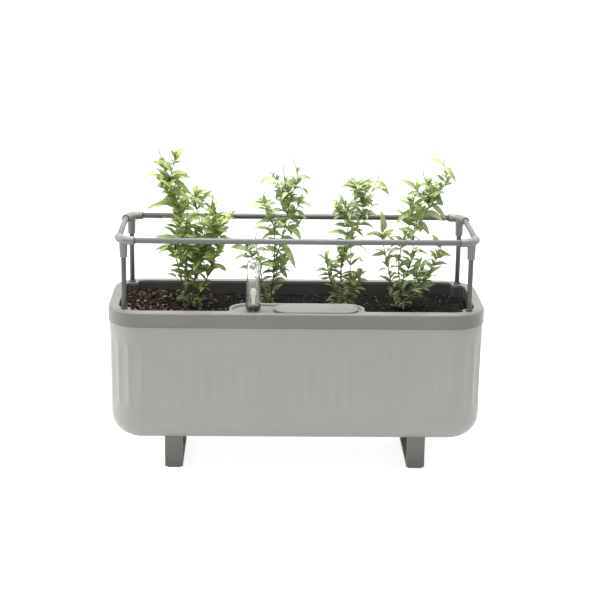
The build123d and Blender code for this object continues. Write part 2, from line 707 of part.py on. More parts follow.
def long_rail(sy):
    """A long rail between two corner connectors."""
    half = rail_x - elbow_bend_radius + elbow_rail_socket
    return Pos(0, sy * rail_y, rail_z) * Rot(0, 90, 0) * stack([(rail_radius, -half), (rail_radius, half)])


def short_rail(sx):
    """A short rail at one end of the trellis."""
    half = rail_y - elbow_bend_radius + elbow_rail_socket
    return Pos(sx * rail_x, 0, rail_z) * Rot(90, 0, 0) * stack([(rail_radius, -half), (rail_radius, half)])


def rail_bend(bend_x, bend_y):
    """The quarter bend of a connector, from one rail's direction to the other's."""
    section = ring_of(Vector(elbow_bend_radius, 0, 0), elbow_radius, small_round_sides)
    rings = []
    for i in range(elbow_bend_steps + 1):
        swing = math.radians(90 * i / elbow_bend_steps)
        around = [(bend_x + p.X * math.cos(swing), bend_y + p.X * math.sin(swing)) for p in section]
        rings.append([Vector(x, y, rail_z + p.Y) for (x, y), p in zip(around, section)])
    return faceted(rings)


def corner_connector():
    """The right rear three-way connector: a bend with two ringed rail sockets and a post sleeve."""
    bend_x = rail_x - elbow_bend_radius
    bend_y = rail_y - elbow_bend_radius
    body = rail_bend(bend_x, bend_y)
    at_post = Pos(post_x, post_y)
    sleeve_foot = rim_top + sleeve_foot_rise
    body += at_post * stack([(sleeve_radius, sleeve_foot), (sleeve_radius, rail_z)])
    ring = stack([(elbow_ring_radius, 0), (elbow_ring_radius, elbow_ring_length)])
    hole = hidden_round(rail_radius + tube_fit, -elbow_rail_socket - tube_fit, overrun)
    for mouth in [Pos(rail_x, bend_y, rail_z) * Rot(90, 0, 0), Pos(bend_x, rail_y, rail_z) * Rot(0, -90, 0)]:
        body += mouth * ring
        body -= mouth * hole
    return body - at_post * hidden_round(post_radius + tube_fit, sleeve_foot - overrun, post_head + tube_fit)


def corner_connectors():
    """The four connectors, each a mirror image of its neighbours."""
    right_rear = corner_connector()
    right_front = mirror(right_rear, Plane.XZ)
    right = [right_rear, right_front]
    return Compound(children=right + [mirror(one, Plane.YZ) for one in right])


def foot(side):
    """A bent bar foot: two legs, a bar on the ground and two tabs under the pot."""
    half = foot_depth / 2
    tab = half - foot_bar - foot_tab_length
    inner = half - foot_bar
    ends = [
        (tab, foot_height),
        (tab, foot_height - foot_tab_thickness),
        (inner, foot_height - foot_tab_thickness),
        (inner, pad_thickness + foot_bar),
    ]
    mirrored = [(-y, z) for y, z in reversed(ends)]
    low_corners = [(-half, foot_height), (-half, pad_thickness), (half, pad_thickness)]
    outline = [(half, foot_height)] + ends + mirrored + low_corners
    bar = extrude(Plane.YZ * make_face(Polyline(*outline, close=True)), amount=foot_width / 2, both=True)
    low = [e for e in bar.edges() if e.bounding_box().max.Z < pad_thickness + foot_bar / 2]
    bar = fillet([e for e in low if e.bounding_box().size.X > foot_bar], foot_edge_round)
    hole_radius = screw_radius + screw_tab_gap
    tab_hole = hidden_round(hole_radius, foot_height - foot_tab_thickness - overrun, foot_height + overrun)
    for y in sorted({y for x, y in screw_places()}):
        bar -= Pos(0, y) * tab_hole
    return Pos(side * foot_spacing / 2, 0, 0) * bar


def foot_pad(side):
    """The thin rubber pad under one foot."""
    width = foot_width - 2 * pad_inset
    depth = foot_depth - 2 * pad_inset
    return Pos(side * foot_spacing / 2, 0, 0) * prism(Rectangle(width, depth), 0, pad_thickness)


def foot_screws():
    """The four screws that hold the feet to the pot."""
    seat = foot_height - foot_tab_thickness
    screw = hidden_round(screw_radius, seat, seat + screw_length)
    screw += hidden_round(screw_head_radius, seat - screw_head_height, seat)
    return Compound(children=[Pos(x, y, 0) * screw for x, y in screw_places()])


def all_parts():
    """Every piece of the planter under its node name."""
    return {
        "outer_pot": outer_pot(),
        "inner_liner": inner_liner(),
        "wick_basket_left": wick_basket(basket_places()[0]),
        "wick_basket_right": wick_basket(basket_places()[1]),
        "soil": soil(),
        "herb_1": herb(0),
        "herb_2": herb(1),
        "herb_3": herb(2),
        "herb_4": herb(3),
        "filler_lid": filler_lid(),
        "level_tube": level_tube(),
        "level_collar": level_collar(),
        "float_stem": float_stem(),
        "level_bulb": level_bulb(),
        "float": water_float(),
        "front_left_post": post(-1, -1),
        "front_right_post": post(1, -1),
        "rear_left_post": post(-1, 1),
        "rear_right_post": post(1, 1),
        "corner_connectors": corner_connectors(),
        "front_rail": long_rail(-1),
        "rear_rail": long_rail(1),
        "left_rail": short_rail(-1),
        "right_rail": short_rail(1),
        "left_foot": foot(-1),
        "right_foot": foot(1),
        "left_foot_pad": foot_pad(-1),
        "right_foot_pad": foot_pad(1),
        "foot_screws": foot_screws(),
    }


if __name__ == "__main__":
    os.makedirs("parts", exist_ok=True)
    for name, piece in all_parts().items():
        export_step(piece, "parts/" + name + ".step")
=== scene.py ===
import math
import random

import bpy
from mathutils import Matrix, Vector, noise


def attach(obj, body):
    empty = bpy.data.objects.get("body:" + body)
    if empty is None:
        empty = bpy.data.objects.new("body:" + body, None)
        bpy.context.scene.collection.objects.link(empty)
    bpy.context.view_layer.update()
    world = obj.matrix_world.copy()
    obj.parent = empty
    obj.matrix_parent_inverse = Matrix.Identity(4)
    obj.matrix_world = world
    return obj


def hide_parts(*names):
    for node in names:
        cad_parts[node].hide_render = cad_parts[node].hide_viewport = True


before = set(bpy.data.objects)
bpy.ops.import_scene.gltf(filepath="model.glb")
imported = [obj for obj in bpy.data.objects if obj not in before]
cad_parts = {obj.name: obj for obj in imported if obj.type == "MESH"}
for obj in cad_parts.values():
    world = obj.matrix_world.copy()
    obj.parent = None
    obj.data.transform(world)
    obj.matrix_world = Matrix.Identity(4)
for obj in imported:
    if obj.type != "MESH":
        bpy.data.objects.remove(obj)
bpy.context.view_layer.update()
MM = 0.001

# Sizes that the scene shares with the part, in millimetres
LENGTH, WIDTH, CORNER = 520.0, 192.0, 47.0
RIM_TOP, RIM_UNDER, BAND_BOTTOM = 236.0, 233.0, 216.0
POT_BASE, POT_FLOOR = 49.0, 52.0
POT_INSET, POT_DRAFT, POT_ROUND = 1.5, 0.4, 34.0
HOLLOW_INSET, HOLLOW_ROUND = 5.55, 31.0
NECK_INSET, SHADOW_GAP = 2.3, 0.8
FLUTE_PITCH, FLUTE_LAND, FLUTE_DEPTH, FLUTE_TOP, FLUTE_BOTTOM = 17.6, 1.0, 0.8, 45.0, 134.0
SOIL_TOP, LINER_FLOOR, SOIL_INSET = 216.0, 99.0, 13.3
WELL_Y, WELL_LENGTH, WELL_WIDTH = -66.7, 177.0, 45.0
GAUGE_X, TUBE_HEIGHT, TUBE_RADIUS, TUBE_BORE, COLLAR_HEIGHT = -60.0, 69.6, 9.3, 7.8, 5.0
ROD_FOOT, BULB_FOOT = 77.0, RIM_TOP + 15.6
POST_X, POST_Y, POST_FOOT, POST_TOP, POST_RADIUS = 236.0, 72.0, 208.0, 329.0, 3.5
RAIL_X, RAIL_Y, RAIL_Z, RAIL_RADIUS, RAIL_SEAT, BEND = 243.0, 79.0, 333.0, 4.0, 6.0, 21.4
CORE_X, CORE_Y = LENGTH / 2 - CORNER, WIDTH / 2 - CORNER


def put(name, data):
    """A new object in the scene."""
    holder = bpy.data.objects.new(name, data)
    bpy.context.scene.collection.objects.link(holder)
    return holder


# Camera, fitted to the photograph
FOCAL_PIXELS, PHOTO_PIXELS, SENSOR = 1629.8, 600, 36.0


def set_camera():
    camera = bpy.data.cameras.new("camera")
    camera.sensor_width = SENSOR
    camera.lens = FOCAL_PIXELS / PHOTO_PIXELS * SENSOR
    camera.clip_end = 50.0
    holder = put("camera", camera)
    forward = Vector((0.0242, 0.9641, -0.2643)).normalized()
    upward = Vector((-0.0069, 0.2646, 0.9643)).normalized()
    right = forward.cross(upward).normalized()
    upward = right.cross(forward)
    turn = Matrix((right, upward, -forward)).transposed().to_4x4()
    holder.matrix_world = Matrix.Translation((-0.0501, -2.2202, 0.8386)) @ turn
    bpy.context.scene.camera = holder


set_camera()


# Material building blocks
def linear(value):
    return value / 12.92 if value <= 0.04045 else ((value + 0.055) / 1.055) ** 2.4


def colour(red, green, blue):
    """A display colour from 0 to 255, as the shader's linear colour."""
    return (linear(red / 255), linear(green / 255), linear(blue / 255), 1.0)


def dyes(*stops):
    """Ramp stops, each from a place and a display colour."""
    return [(place, colour(*dye)) for place, *dye in stops]


class Finish:
    """A procedural material that is put together step by step."""

    def __init__(self, name):
        self.material = bpy.data.materials.new(name)
        self.material.use_nodes = True
        self.tree = self.material.node_tree
        self.shader = self.tree.nodes["Principled BSDF"]
        self.place = self.add("ShaderNodeTexCoord").outputs["Object"]
        self.normal = None

    def add(self, kind, **values):
        node = self.tree.nodes.new(kind)
        for key, value in values.items():
            setattr(node, key, value)
        return node

    def link(self, source, target):
        self.tree.links.new(source, target)

    def fill(self, sockets, values):
        """Each value goes to its socket: a socket is linked, and a constant is set."""
        for socket, value in zip(sockets, values):
            if isinstance(value, bpy.types.NodeSocket):
                self.link(value, socket)
            else:
                socket.default_value = value

    def feed(self, node, **values):
        """Each value goes to the node's input of its name."""
        self.fill([node.inputs[key.replace("_", " ")] for key in values], values.values())
        return node

    def set(self, **values):
        self.feed(self.shader, **values)

    def calc(self, kind, *values):
        node = self.add("ShaderNodeMath", operation=kind)
        self.fill(node.inputs, values)
        return node.outputs[0]

    def vector(self, kind, *values):
        node = self.add("ShaderNodeVectorMath", operation=kind)
        self.fill(node.inputs, values)
        return node.outputs["Value" if kind in ("LENGTH", "DOT_PRODUCT") else "Vector"]

    def split(self, source):
        return self.feed(self.add("ShaderNodeSeparateXYZ"), Vector=source).outputs

    def grade(self, source, low, high, top=1.0):
        """From 0 to top while the source runs from low to high."""
        node = self.add("ShaderNodeMapRange")
        self.feed(node, Value=source, From_Min=low, From_Max=high, To_Max=top)
        return node.outputs["Result"]

    def noise(self, scale, detail=2.0, rough=0.5, stretch=None):
        place = self.place
        if stretch:
            place = self.feed(self.add("ShaderNodeMapping"), Scale=stretch, Vector=place).outputs["Vector"]
        node = self.add("ShaderNodeTexNoise")
        self.feed(node, Scale=scale, Detail=detail, Roughness=rough, Vector=place)
        return node.outputs["Fac"]

    def cells(self, scale):
        node = self.add("ShaderNodeTexVoronoi")
        return self.feed(node, Scale=scale, Vector=self.place).outputs["Distance"]

    def ramp(self, source, stops):
        """Each stop is a place with a colour, or with one number for a grey."""
        node = self.feed(self.add("ShaderNodeValToRGB"), Fac=source)
        while len(node.color_ramp.elements) < len(stops):
            node.color_ramp.elements.new(0.5)
        for element, (place, tone) in zip(node.color_ramp.elements, stops):
            element.position = place
            element.color = tone if isinstance(tone, tuple) else (tone, tone, tone, 1.0)
        return node.outputs["Color"]

    def mix(self, factor, first, second, blend="MIX"):
        node = self.add("ShaderNodeMix", data_type="RGBA", blend_type=blend)
        self.fill((node.inputs[0], node.inputs[6], node.inputs[7]), (factor, first, second))
        return node.outputs[2]

    def bump(self, height, distance, strength=1.0):
        node = self.add("ShaderNodeBump")
        self.feed(node, Strength=strength, Distance=distance, Height=height)
        if self.normal is not None:
            self.feed(node, Normal=self.normal)
        self.normal = node.outputs["Normal"]
        self.set(Normal=self.normal)

    def base(self, source):
        self.set(Base_Color=source)

    def patches(self, source, low, high):
        """Soft patches of two values, each a colour or a number for a grey."""
        return self.ramp(source, [(0.3, low), (0.7, high)])

    def roughness(self, low, high, scale, detail=3.0):
        self.set(Roughness=self.patches(self.noise(scale, detail), low, high))


def shade(tone, factor):
    return (tone[0] * factor, tone[1] * factor, tone[2] * factor, 1.0)


def moulded(name, tone, rough=(0.38, 0.48), grain=2200.0, depth=0.00002, drift=0.05):
    """Moulded plastic with a fine spark-eroded grain and a faint drift of tone."""
    finish = Finish(name)
    finish.base(finish.patches(finish.noise(9.0, 3.0), shade(tone, 1 - drift), shade(tone, 1 + drift)))
    finish.roughness(*rough, 60.0)
    finish.bump(finish.noise(grain, 2.0, 0.6), depth)
    finish.set(IOR=1.5)
    return finish


def coated(name, tone):
    """Powder coat on a thin tube: fine orange peel and a few rubbed places."""
    finish = Finish(name)
    rubbed = finish.ramp(finish.noise(45.0, 6.0, 0.7), [(0.62, tone), (0.78, shade(tone, 1.06))])
    finish.base(finish.mix(finish.noise(12.0, 3.0), shade(tone, 0.96), rubbed))
    finish.roughness(0.3, 0.42, 90.0)
    finish.bump(finish.noise(900.0), 0.000008)
    finish.set(IOR=1.5)
    return finish


def paint(finish, *names):
    """The finish on CAD nodes that are carried over."""
    for name in names:
        for material_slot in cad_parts[name].material_slots:
            material_slot.material = finish.material


# How far the painted shade in the trough reaches, in millimetres: its opening's inset from the outside, the
# rim's pale lip, the clearance round the filler well, and the height under which the well's outside gets
# painted shade too
OPENING_INSET, PALE_LIP, WELL_CLEAR, WELL_SHADE_TOP = 10.0, 3.4, 3.0, 226.8
FACING_IN = -0.002


def paint_trough_shade(finish, dark):
    """Painted shade: a charcoal tone on the trough's inward faces, below the rim's top face and inside its
    opening, where shade falls.
    """
    mirrored = finish.vector("ABSOLUTE", finish.place)
    past_core = finish.vector("SUBTRACT", mirrored, (CORE_X * MM, CORE_Y * MM, 10.0))
    reach = finish.vector("LENGTH", finish.vector("MAXIMUM", past_core, (0.0, 0.0, 0.0)))
    _, y, z = finish.split(finish.place)
    inside = finish.calc("LESS_THAN", reach, (CORNER - OPENING_INSET) * MM)
    below = finish.calc("LESS_THAN", z, (RIM_TOP - PALE_LIP) * MM)
    behind = finish.calc("GREATER_THAN", y, (WELL_Y + WELL_WIDTH / 2 + WELL_CLEAR) * MM)
    beside = finish.calc("GREATER_THAN", finish.split(mirrored)["X"], (WELL_LENGTH / 2 + WELL_CLEAR) * MM)
    deep = finish.calc("LESS_THAN", z, WELL_SHADE_TOP * MM)
    free = finish.calc("MAXIMUM", finish.calc("MAXIMUM", behind, beside), deep)
    outward = finish.vector("MULTIPLY", finish.place, (1.0, 1.0, 0.0))
    faced = finish.vector("DOT_PRODUCT", outward, finish.add("ShaderNodeTexCoord").outputs["Normal"])
    # Painted shade mask: inward faces below the pale lip, inside the opening and clear of the filler well
    trough_shade_mask = finish.calc("LESS_THAN", faced, FACING_IN)
    for test in (inside, below, free):
        trough_shade_mask = finish.calc("MULTIPLY", trough_shade_mask, test)
    base = finish.shader.inputs["Base Color"].links[0].from_socket
    # Painted shade: the liner's own grey gives way to a shade tone with soft patches
    painted_shade = finish.patches(finish.noise(30.0, 3.0), shade(dark, 0.9), shade(dark, 1.12))
    finish.base(finish.mix(trough_shade_mask, base, painted_shade))


pot_finish = moulded("pot_plastic", colour(176, 179, 173), rough=(0.40, 0.50), grain=1500.0,
                     depth=0.00003, drift=0.03)
rim_finish = moulded("rim_plastic", colour(131, 131, 127), rough=(0.30, 0.42), grain=1800.0)
# Painted shade: charcoal inside the trough on the rim's grey plastic, which is one grey all over
paint_trough_shade(rim_finish, colour(84, 84, 82))
paint(rim_finish, "inner_liner")
paint(moulded("basket_plastic", colour(62, 62, 61)), "wick_basket_left", "wick_basket_right")
lid_finish = moulded("lid_plastic", colour(128, 128, 122), rough=(0.42, 0.55))
lid_finish.bump(lid_finish.cells(750.0), 0.00008)
lid_finish.bump(lid_finish.noise(420.0, 4.0, 0.6), 0.00012)
paint(lid_finish, "filler_lid")
collar_finish = moulded("collar_plastic", colour(60, 60, 58), rough=(0.3, 0.4))
rod_finish = moulded("rod_plastic", colour(236, 236, 230), rough=(0.25, 0.35), drift=0.02)
bulb_finish = moulded("bulb_plastic", colour(232, 228, 204), rough=(0.3, 0.4), drift=0.03)
paint(moulded("float_foam", colour(226, 226, 220), rough=(0.6, 0.8), grain=900.0, depth=0.0001), "float")
post_finish = coated("post_coat", colour(95, 95, 92))
rail_finish = coated("rail_coat", colour(115, 118, 117))
rear_rail_finish = coated("rear_rail_coat", colour(94, 94, 92))
connector_finish = moulded("connector_plastic", colour(137, 138, 133), rough=(0.34, 0.44))
ring_finish = moulded("ring_plastic", colour(70, 70, 68), rough=(0.3, 0.4))
paint(moulded("foot_plastic", colour(127, 127, 123), rough=(0.4, 0.5)), "left_foot", "right_foot")
pad_finish = moulded("pad_rubber", colour(30, 30, 30), rough=(0.7, 0.85), grain=700.0, depth=0.00008)
paint(pad_finish, "left_foot_pad", "right_foot_pad")
screw_finish = Finish("screw_steel")
steel = screw_finish.patches(screw_finish.noise(300.0, 4.0), colour(150, 150, 148), colour(196, 196, 194))
screw_finish.base(steel)
screw_finish.set(Metallic=1.0)
screw_finish.roughness(0.25, 0.45, 400.0)
screw_finish.bump(screw_finish.noise(1500.0, stretch=(1, 1, 0.1)), 0.00002)
paint(screw_finish, "foot_screws")


# Mesh building blocks
def piece(name, points, faces, finish, body, replaces=(), smooth=40.0):
    """A new mesh piece; its points are in millimetres in the shared frame."""
    mesh = bpy.data.meshes.new(name)
    mesh.from_pydata([(x * MM, y * MM, z * MM) for x, y, z in points], [], faces)
    mesh.validate()
    mesh.materials.append(finish.material)
    mesh.shade_smooth()
    mesh.set_sharp_from_angle(angle=math.radians(smooth))
    holder = put(name, mesh)
    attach(holder, body)
    if replaces:
        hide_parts(*replaces)
    return holder


def lattice(rows, count, closed=True):
    """Faces between rows that each have the same count of points."""
    faces = []
    for r in range(rows - 1):
        for i in range(count if closed else count - 1):
            j = (i + 1) % count
            faces.append((r * count + i, r * count + j, (r + 1) * count + j, (r + 1) * count + i))
    return faces


def circle(count):
    """Evenly spaced angles."""
    return [2 * math.pi * k / count for k in range(count)]


def skin(rows):
    """The points of closed rows, and the faces between them."""
    return [point for row in rows for point in row], lattice(len(rows), len(rows[0]))


# The fluted pot
def plan_stations(per_flute):
    """Stations round the plan: core point, outward direction, distance to a flute's middle, bend radius."""
    stations = []
    bend = CORNER - POT_INSET
    bend_count = round(math.pi / 2 * bend / FLUTE_PITCH)
    for turn in (0, 90, 180, 270):
        half, standoff = (CORE_Y, CORE_X) if turn % 180 else (CORE_X, CORE_Y)
        spin = Matrix.Rotation(math.radians(turn), 2)
        count = round(2 * half / FLUTE_PITCH)
        step = 2 * half / count
        for i in range(count * per_flute):
            along = -half + i * step / per_flute
            middle = -half + (math.floor(i / per_flute) + 0.5) * step
            stations.append((spin @ Vector((along, -standoff)), spin @ Vector((0, -1)), along - middle, None))
        step = math.radians(90) / bend_count
        for i in range(bend_count * per_flute):
            swing = i * step / per_flute
            middle = (math.floor(i / per_flute) + 0.5) * step
            out = spin @ Vector((math.sin(swing), -math.cos(swing)))
            stations.append((spin @ Vector((half, -standoff)), out, swing - middle, bend))
    return stations


def flute_cut(offset, bend, rise):
    """How deep the flute is at a distance from its middle and at a height."""
    half = (FLUTE_PITCH - FLUTE_LAND) / 2
    radius = (half ** 2 + FLUTE_DEPTH ** 2) / (2 * FLUTE_DEPTH)
    top = RIM_TOP - FLUTE_TOP - half
    bottom = RIM_TOP - FLUTE_BOTTOM + half
    past = max(rise - top, bottom - rise, 0.0)
    if past >= radius:
        return 0.0
    reach_radius = math.sqrt(radius ** 2 - past ** 2)
    if bend is None:
        depth = math.sqrt(max(reach_radius ** 2 - offset ** 2, 0.0)) - (radius - FLUTE_DEPTH)
    else:
        bend_depth = half ** 2 / 2 * (1 / radius + 1 / bend)
        reach = bend + radius - bend_depth
        under = reach_radius ** 2 - (reach * math.sin(offset)) ** 2
        depth = bend - (reach * math.cos(offset) - math.sqrt(under)) if under > 0 else 0.0
    return max(depth, 0.0)


def pot_row(stations, inset, rise, fluted=False):
    row = []
    for core, out, offset, bend in stations:
        reach = CORNER - inset - (flute_cut(offset, bend, rise) if fluted else 0.0)
        row.append((core.x + out.x * reach, core.y + out.y * reach, rise))
    return row


def rounded_foot(stations, inset, level, radius, steps, first):
    """Rows that turn from an upright wall into the flat at a level."""
    rows = []
    for i in range(first, steps + 1):
        angle = math.radians(90 * i / steps)
        rise = level + radius * (1 - math.sin(angle))
        rows.append(pot_row(stations, inset + radius * (1 - math.cos(angle)), rise))
    return rows


def build_pot():
    stations = plan_stations(12)
    slope = math.tan(math.radians(POT_DRAFT))

    def inset_at(rise):
        return POT_INSET + (RIM_UNDER - rise) * slope

    neck_foot, softening = BAND_BOTTOM - SHADOW_GAP, 0.25
    rows = [pot_row(stations, NECK_INSET, rise) for rise in (RIM_UNDER, neck_foot)]
    rows.append(pot_row(stations, inset_at(neck_foot) + softening, neck_foot))
    rows.append(pot_row(stations, inset_at(neck_foot), neck_foot - softening))
    top, bottom = RIM_TOP - FLUTE_TOP + 1, RIM_TOP - FLUTE_BOTTOM - 1
    rises = [206.0, 198.0, 94.0, 88.0]
    rises += [top - i for i in range(13)] + [top - 14 - 4 * i for i in range(16)]
    rises += [bottom + 12 - i for i in range(13)]
    rises = sorted({round(r, 2) for r in rises if r > POT_BASE + POT_ROUND}, reverse=True)
    rows += [pot_row(stations, inset_at(r), r, fluted=True) for r in rises]
    rows += rounded_foot(stations, inset_at(POT_BASE + POT_ROUND), POT_BASE, POT_ROUND, 12, 0)
    points, faces = skin(rows)
    faces.append(tuple(range(len(points) - len(stations), len(points))))
    piece("pot_shell", points, faces, pot_finish, "pot", ["outer_pot"])
    few = plan_stations(2)
    rows = [pot_row(few, NECK_INSET, RIM_UNDER)]
    rows += [pot_row(few, HOLLOW_INSET, r) for r in (RIM_UNDER, 180.0, 130.0, POT_FLOOR + HOLLOW_ROUND)]
    rows += rounded_foot(few, HOLLOW_INSET, POT_FLOOR, HOLLOW_ROUND, 8, 1)
    points, faces = skin(rows)
    faces.append(tuple(range(len(points) - len(few), len(points))))
    faces = [tuple(reversed(face)) for face in faces]
    piece("pot_inside", points, faces, pot_finish, "pot")


build_pot()


# Turned pieces of the level indicator
def turned(name, places, finish, body, replaces=(), around=64, spot=(GAUGE_X, WELL_Y)):
    """A turned piece from places of radius and height on an upright axis."""
    rows = [[(spot[0] + radius * math.cos(t), spot[1] + radius * math.sin(t), rise) for t in circle(around)]
            for radius, rise in places]
    points, faces = skin(rows)
    piece(name, points, faces, finish, body, replaces, smooth=50.0)


def raised(profile, base):
    return [(radius, base + rise) for radius, rise in profile]


def dome(radius, centre, steps):
    turns = [math.radians(90 * i / steps) for i in range(steps + 1)]
    return [(max(radius * math.cos(a), 0.02), centre + radius * math.sin(a)) for a in turns]


def clear_plastic():
    finish = Finish("clear_tube")
    finish.set(Transmission_Weight=0.92, IOR=1.45)
    facing = finish.feed(finish.add("ShaderNodeLayerWeight"), Blend=0.42)
    edges = dyes((0.0, 252, 253, 251), (0.55, 240, 242, 239), (0.94, 132, 135, 132))
    finish.base(finish.ramp(facing.outputs["Facing"], edges))
    finish.roughness(0.015, 0.05, 180.0, 4.0)
    finish.bump(finish.noise(30.0, 1.0, 0.4, stretch=(1, 1, 0.2)), 0.0002, 0.04)
    return finish


def build_gauge():
    """The clear tube on its collar, and the float's rod with its bulb."""
    seat = RIM_TOP + COLLAR_HEIGHT
    centre = RIM_TOP + TUBE_HEIGHT - TUBE_RADIUS
    outside = raised([(10.3, 0.0), (10.6, 0.4), (10.55, 1.4)], seat) + dome(TUBE_RADIUS, centre, 14)
    inside = list(reversed(dome(TUBE_BORE, centre, 14)))
    inside += raised([(9.1, 1.5), (6.85, 1.5), (6.85, 0.0), (10.3, 0.0)], seat)
    turned("level_tube_clear", outside + inside, clear_plastic(), "liner", ["level_tube"])
    collar = [(2.6, -COLLAR_HEIGHT), (10.0, -COLLAR_HEIGHT), (10.1, -4.8), (10.1, -0.3), (9.9, 0.0)]
    collar = raised(collar + [(6.8, 0.0), (6.75, 0.9), (6.4, 1.2), (2.6, 1.2)], seat)
    turned("level_collar_round", collar, collar_finish, "liner", ["level_collar"])
    stem = [(0.02, ROD_FOOT), (2.2, ROD_FOOT), (2.2, BULB_FOOT), (0.02, BULB_FOOT)]
    turned("float_rod_round", stem, rod_finish, "water_gauge", ["float_stem"], around=32)
    bulb = raised([(2.25, 5.0), (2.25, 0.0), (2.9, 0.0), (3.15, 0.4), (3.2, 3.4), (3.35, 4.4), (3.9, 5.2),
                   (4.0, 5.8), (4.0, 9.4)], BULB_FOOT)
    for degrees in range(15, 90, 12):
        angle = math.radians(degrees)
        bulb.append((4.0 * math.cos(angle), BULB_FOOT + 9.4 + 3.8 * math.sin(angle)))
    bulb.append((0.02, BULB_FOOT + 13.25))
    turned("level_bulb_round", bulb, bulb_finish, "water_gauge", ["level_bulb"], around=40)


build_gauge()


# Round rods, bends and sleeves of the trellis
SIDES_X, SIDES_Y = (("left", -1), ("right", 1)), (("front", -1), ("rear", 1))


def tube_along(rings, around=32):
    """Rows round a line; each ring is a place, its two cross directions and a radius."""
    rows = [[place + (side * math.cos(t) + up * math.sin(t)) * radius for t in circle(around)]
            for place, side, up, radius in rings]
    points, faces = skin(rows)
    faces += [tuple(range(around)), tuple(reversed(range(len(points) - around, len(points))))]
    return points, faces


def rod(node, start, end, radius, finish):
    """A round rod with softened ends, in the place of a node of the trellis."""
    start, end = Vector(start), Vector(end)
    long = (end - start).length
    along = (end - start).normalized()
    side = along.orthogonal().normalized()
    up = along.cross(side)
    places = [(0.0, radius - 0.4), (0.4, radius), (long - 0.4, radius), (long, radius - 0.4)]
    points, faces = tube_along([(start + along * run, side, up, reach) for run, reach in places], 40)
    piece(node + "_round", points, faces, finish, "trellis", [node], smooth=50.0)


def connector_bend():
    """Rings of the bend that joins two rails, with its ends stepped in."""
    end = BEND * math.pi / 2
    places = [(-0.6, 5.35), (0.0, 5.75)] + [(end * i / 12, 5.9) for i in range(1, 12)]
    places += [(end, 5.75), (end + 0.6, 5.35)]
    middle, upright = Vector((RAIL_X - BEND, RAIL_Y - BEND, RAIL_Z)), Vector((0, 0, 1))
    rings = []
    for run, radius in places:
        turn = min(max(run / BEND, 0.0), math.pi / 2)
        out = Vector((math.cos(turn), math.sin(turn), 0))
        ahead = Vector((-math.sin(turn), math.cos(turn), 0))
        rings.append((middle + out * BEND + ahead * (run - turn * BEND), out, upright, radius))
    return rings


def connector_sleeve():
    sleeve = raised([(4.8, 72.5), (5.3, 72.8), (5.7, 88.0)], RIM_TOP)
    sleeve += raised([(6.0, -4.0), (5.8, 1.0)], RAIL_Z)
    side, up = Vector((1, 0, 0)), Vector((0, 1, 0))
    return [(Vector((POST_X, POST_Y, rise)), side, up, radius) for radius, rise in sleeve]


def connector_ring(place, ahead):
    """The dark ring where a rail enters a connector."""
    side = Vector((0, 0, 1))
    steps = [(-0.2, 4.9), (0.5, 5.15), (1.3, 5.15), (1.9, 4.4), (1.9, 3.9)]
    return [(place + ahead * run, side, ahead.cross(side), radius) for run, radius in steps]


def connector(name, sx, sy):
    """A three-way corner: a round bend, a sleeve on the post and two dark end rings."""
    side_ring = connector_ring(Vector((RAIL_X, RAIL_Y - BEND, RAIL_Z)), Vector((0, -1, 0)))
    long_ring = connector_ring(Vector((RAIL_X - BEND, RAIL_Y, RAIL_Z)), Vector((-1, 0, 0)))
    parts = [("bend", connector_bend(), connector_finish, ["corner_connectors"]),
             ("sleeve", connector_sleeve(), connector_finish, ()),
             ("ring_side", side_ring, ring_finish, ()), ("ring_long", long_ring, ring_finish, ())]
    for kind, rings, finish, replaces in parts:
        points, faces = tube_along(rings)
        points = [(sx * p.x, sy * p.y, p.z) for p in points]
        if sx * sy < 0:
            faces = [tuple(reversed(face)) for face in faces]
        whole_name = name + "_" + kind
        piece(whole_name, points, faces, finish, "trellis", replaces, smooth=50.0)


def build_trellis():
    grommet = raised([(3.55, 0.02), (4.9, 0.02), (4.95, 0.5), (4.7, 2.6), (4.3, 3.0), (3.55, 3.0)], RIM_TOP)
    for name, sx, sy in [(ahead + "_" + across, sx, sy) for ahead, sy in SIDES_Y for across, sx in SIDES_X]:
        x, y = sx * POST_X, sy * POST_Y
        foot, top = (x, y, POST_FOOT), (x, y, POST_TOP)
        rod(name + "_post", foot, top, POST_RADIUS, post_finish)
        connector(name + "_corner", sx, sy)
        turned(name + "_grommet", grommet, ring_finish, "liner", around=40, spot=(x, y))
    long, short = RAIL_X - BEND + RAIL_SEAT, RAIL_Y - BEND + RAIL_SEAT
    rails = [(name, (-long, sy * RAIL_Y, RAIL_Z), (long, sy * RAIL_Y, RAIL_Z)) for name, sy in SIDES_Y]
    rails += [(name, (sx * RAIL_X, -short, RAIL_Z), (sx * RAIL_X, short, RAIL_Z)) for name, sx in SIDES_X]
    for name, start, end in rails:
        finish = rear_rail_finish if name == "rear" else rail_finish
        rod(name + "_rail", start, end, RAIL_RADIUS, finish)


build_trellis()


# Soil
POST_CLEAR, WELL_WALL = 7.5, 1.3
BARK_CHIPS, GRIT_GRAINS, REACH_X, REACH_Y = 2800, 380, 245, 81


def clamped(value):
    return max(min(value, 1.0), 0.0)


def planting_room(x, y):
    """How far a place is outside the soil's room in plan, negative inside."""
    reach = math.hypot(max(abs(x) - CORE_X, 0.0), max(abs(y) - CORE_Y, 0.0)) - (CORNER - SOIL_INSET)
    post = POST_CLEAR - math.hypot(abs(x) - POST_X, abs(y) - POST_Y)
    half = (WELL_LENGTH - WELL_WIDTH) / 2
    well = WELL_WIDTH / 2 + WELL_WALL - math.hypot(max(abs(x) - half, 0.0), y - WELL_Y)
    return max(reach, post, well)


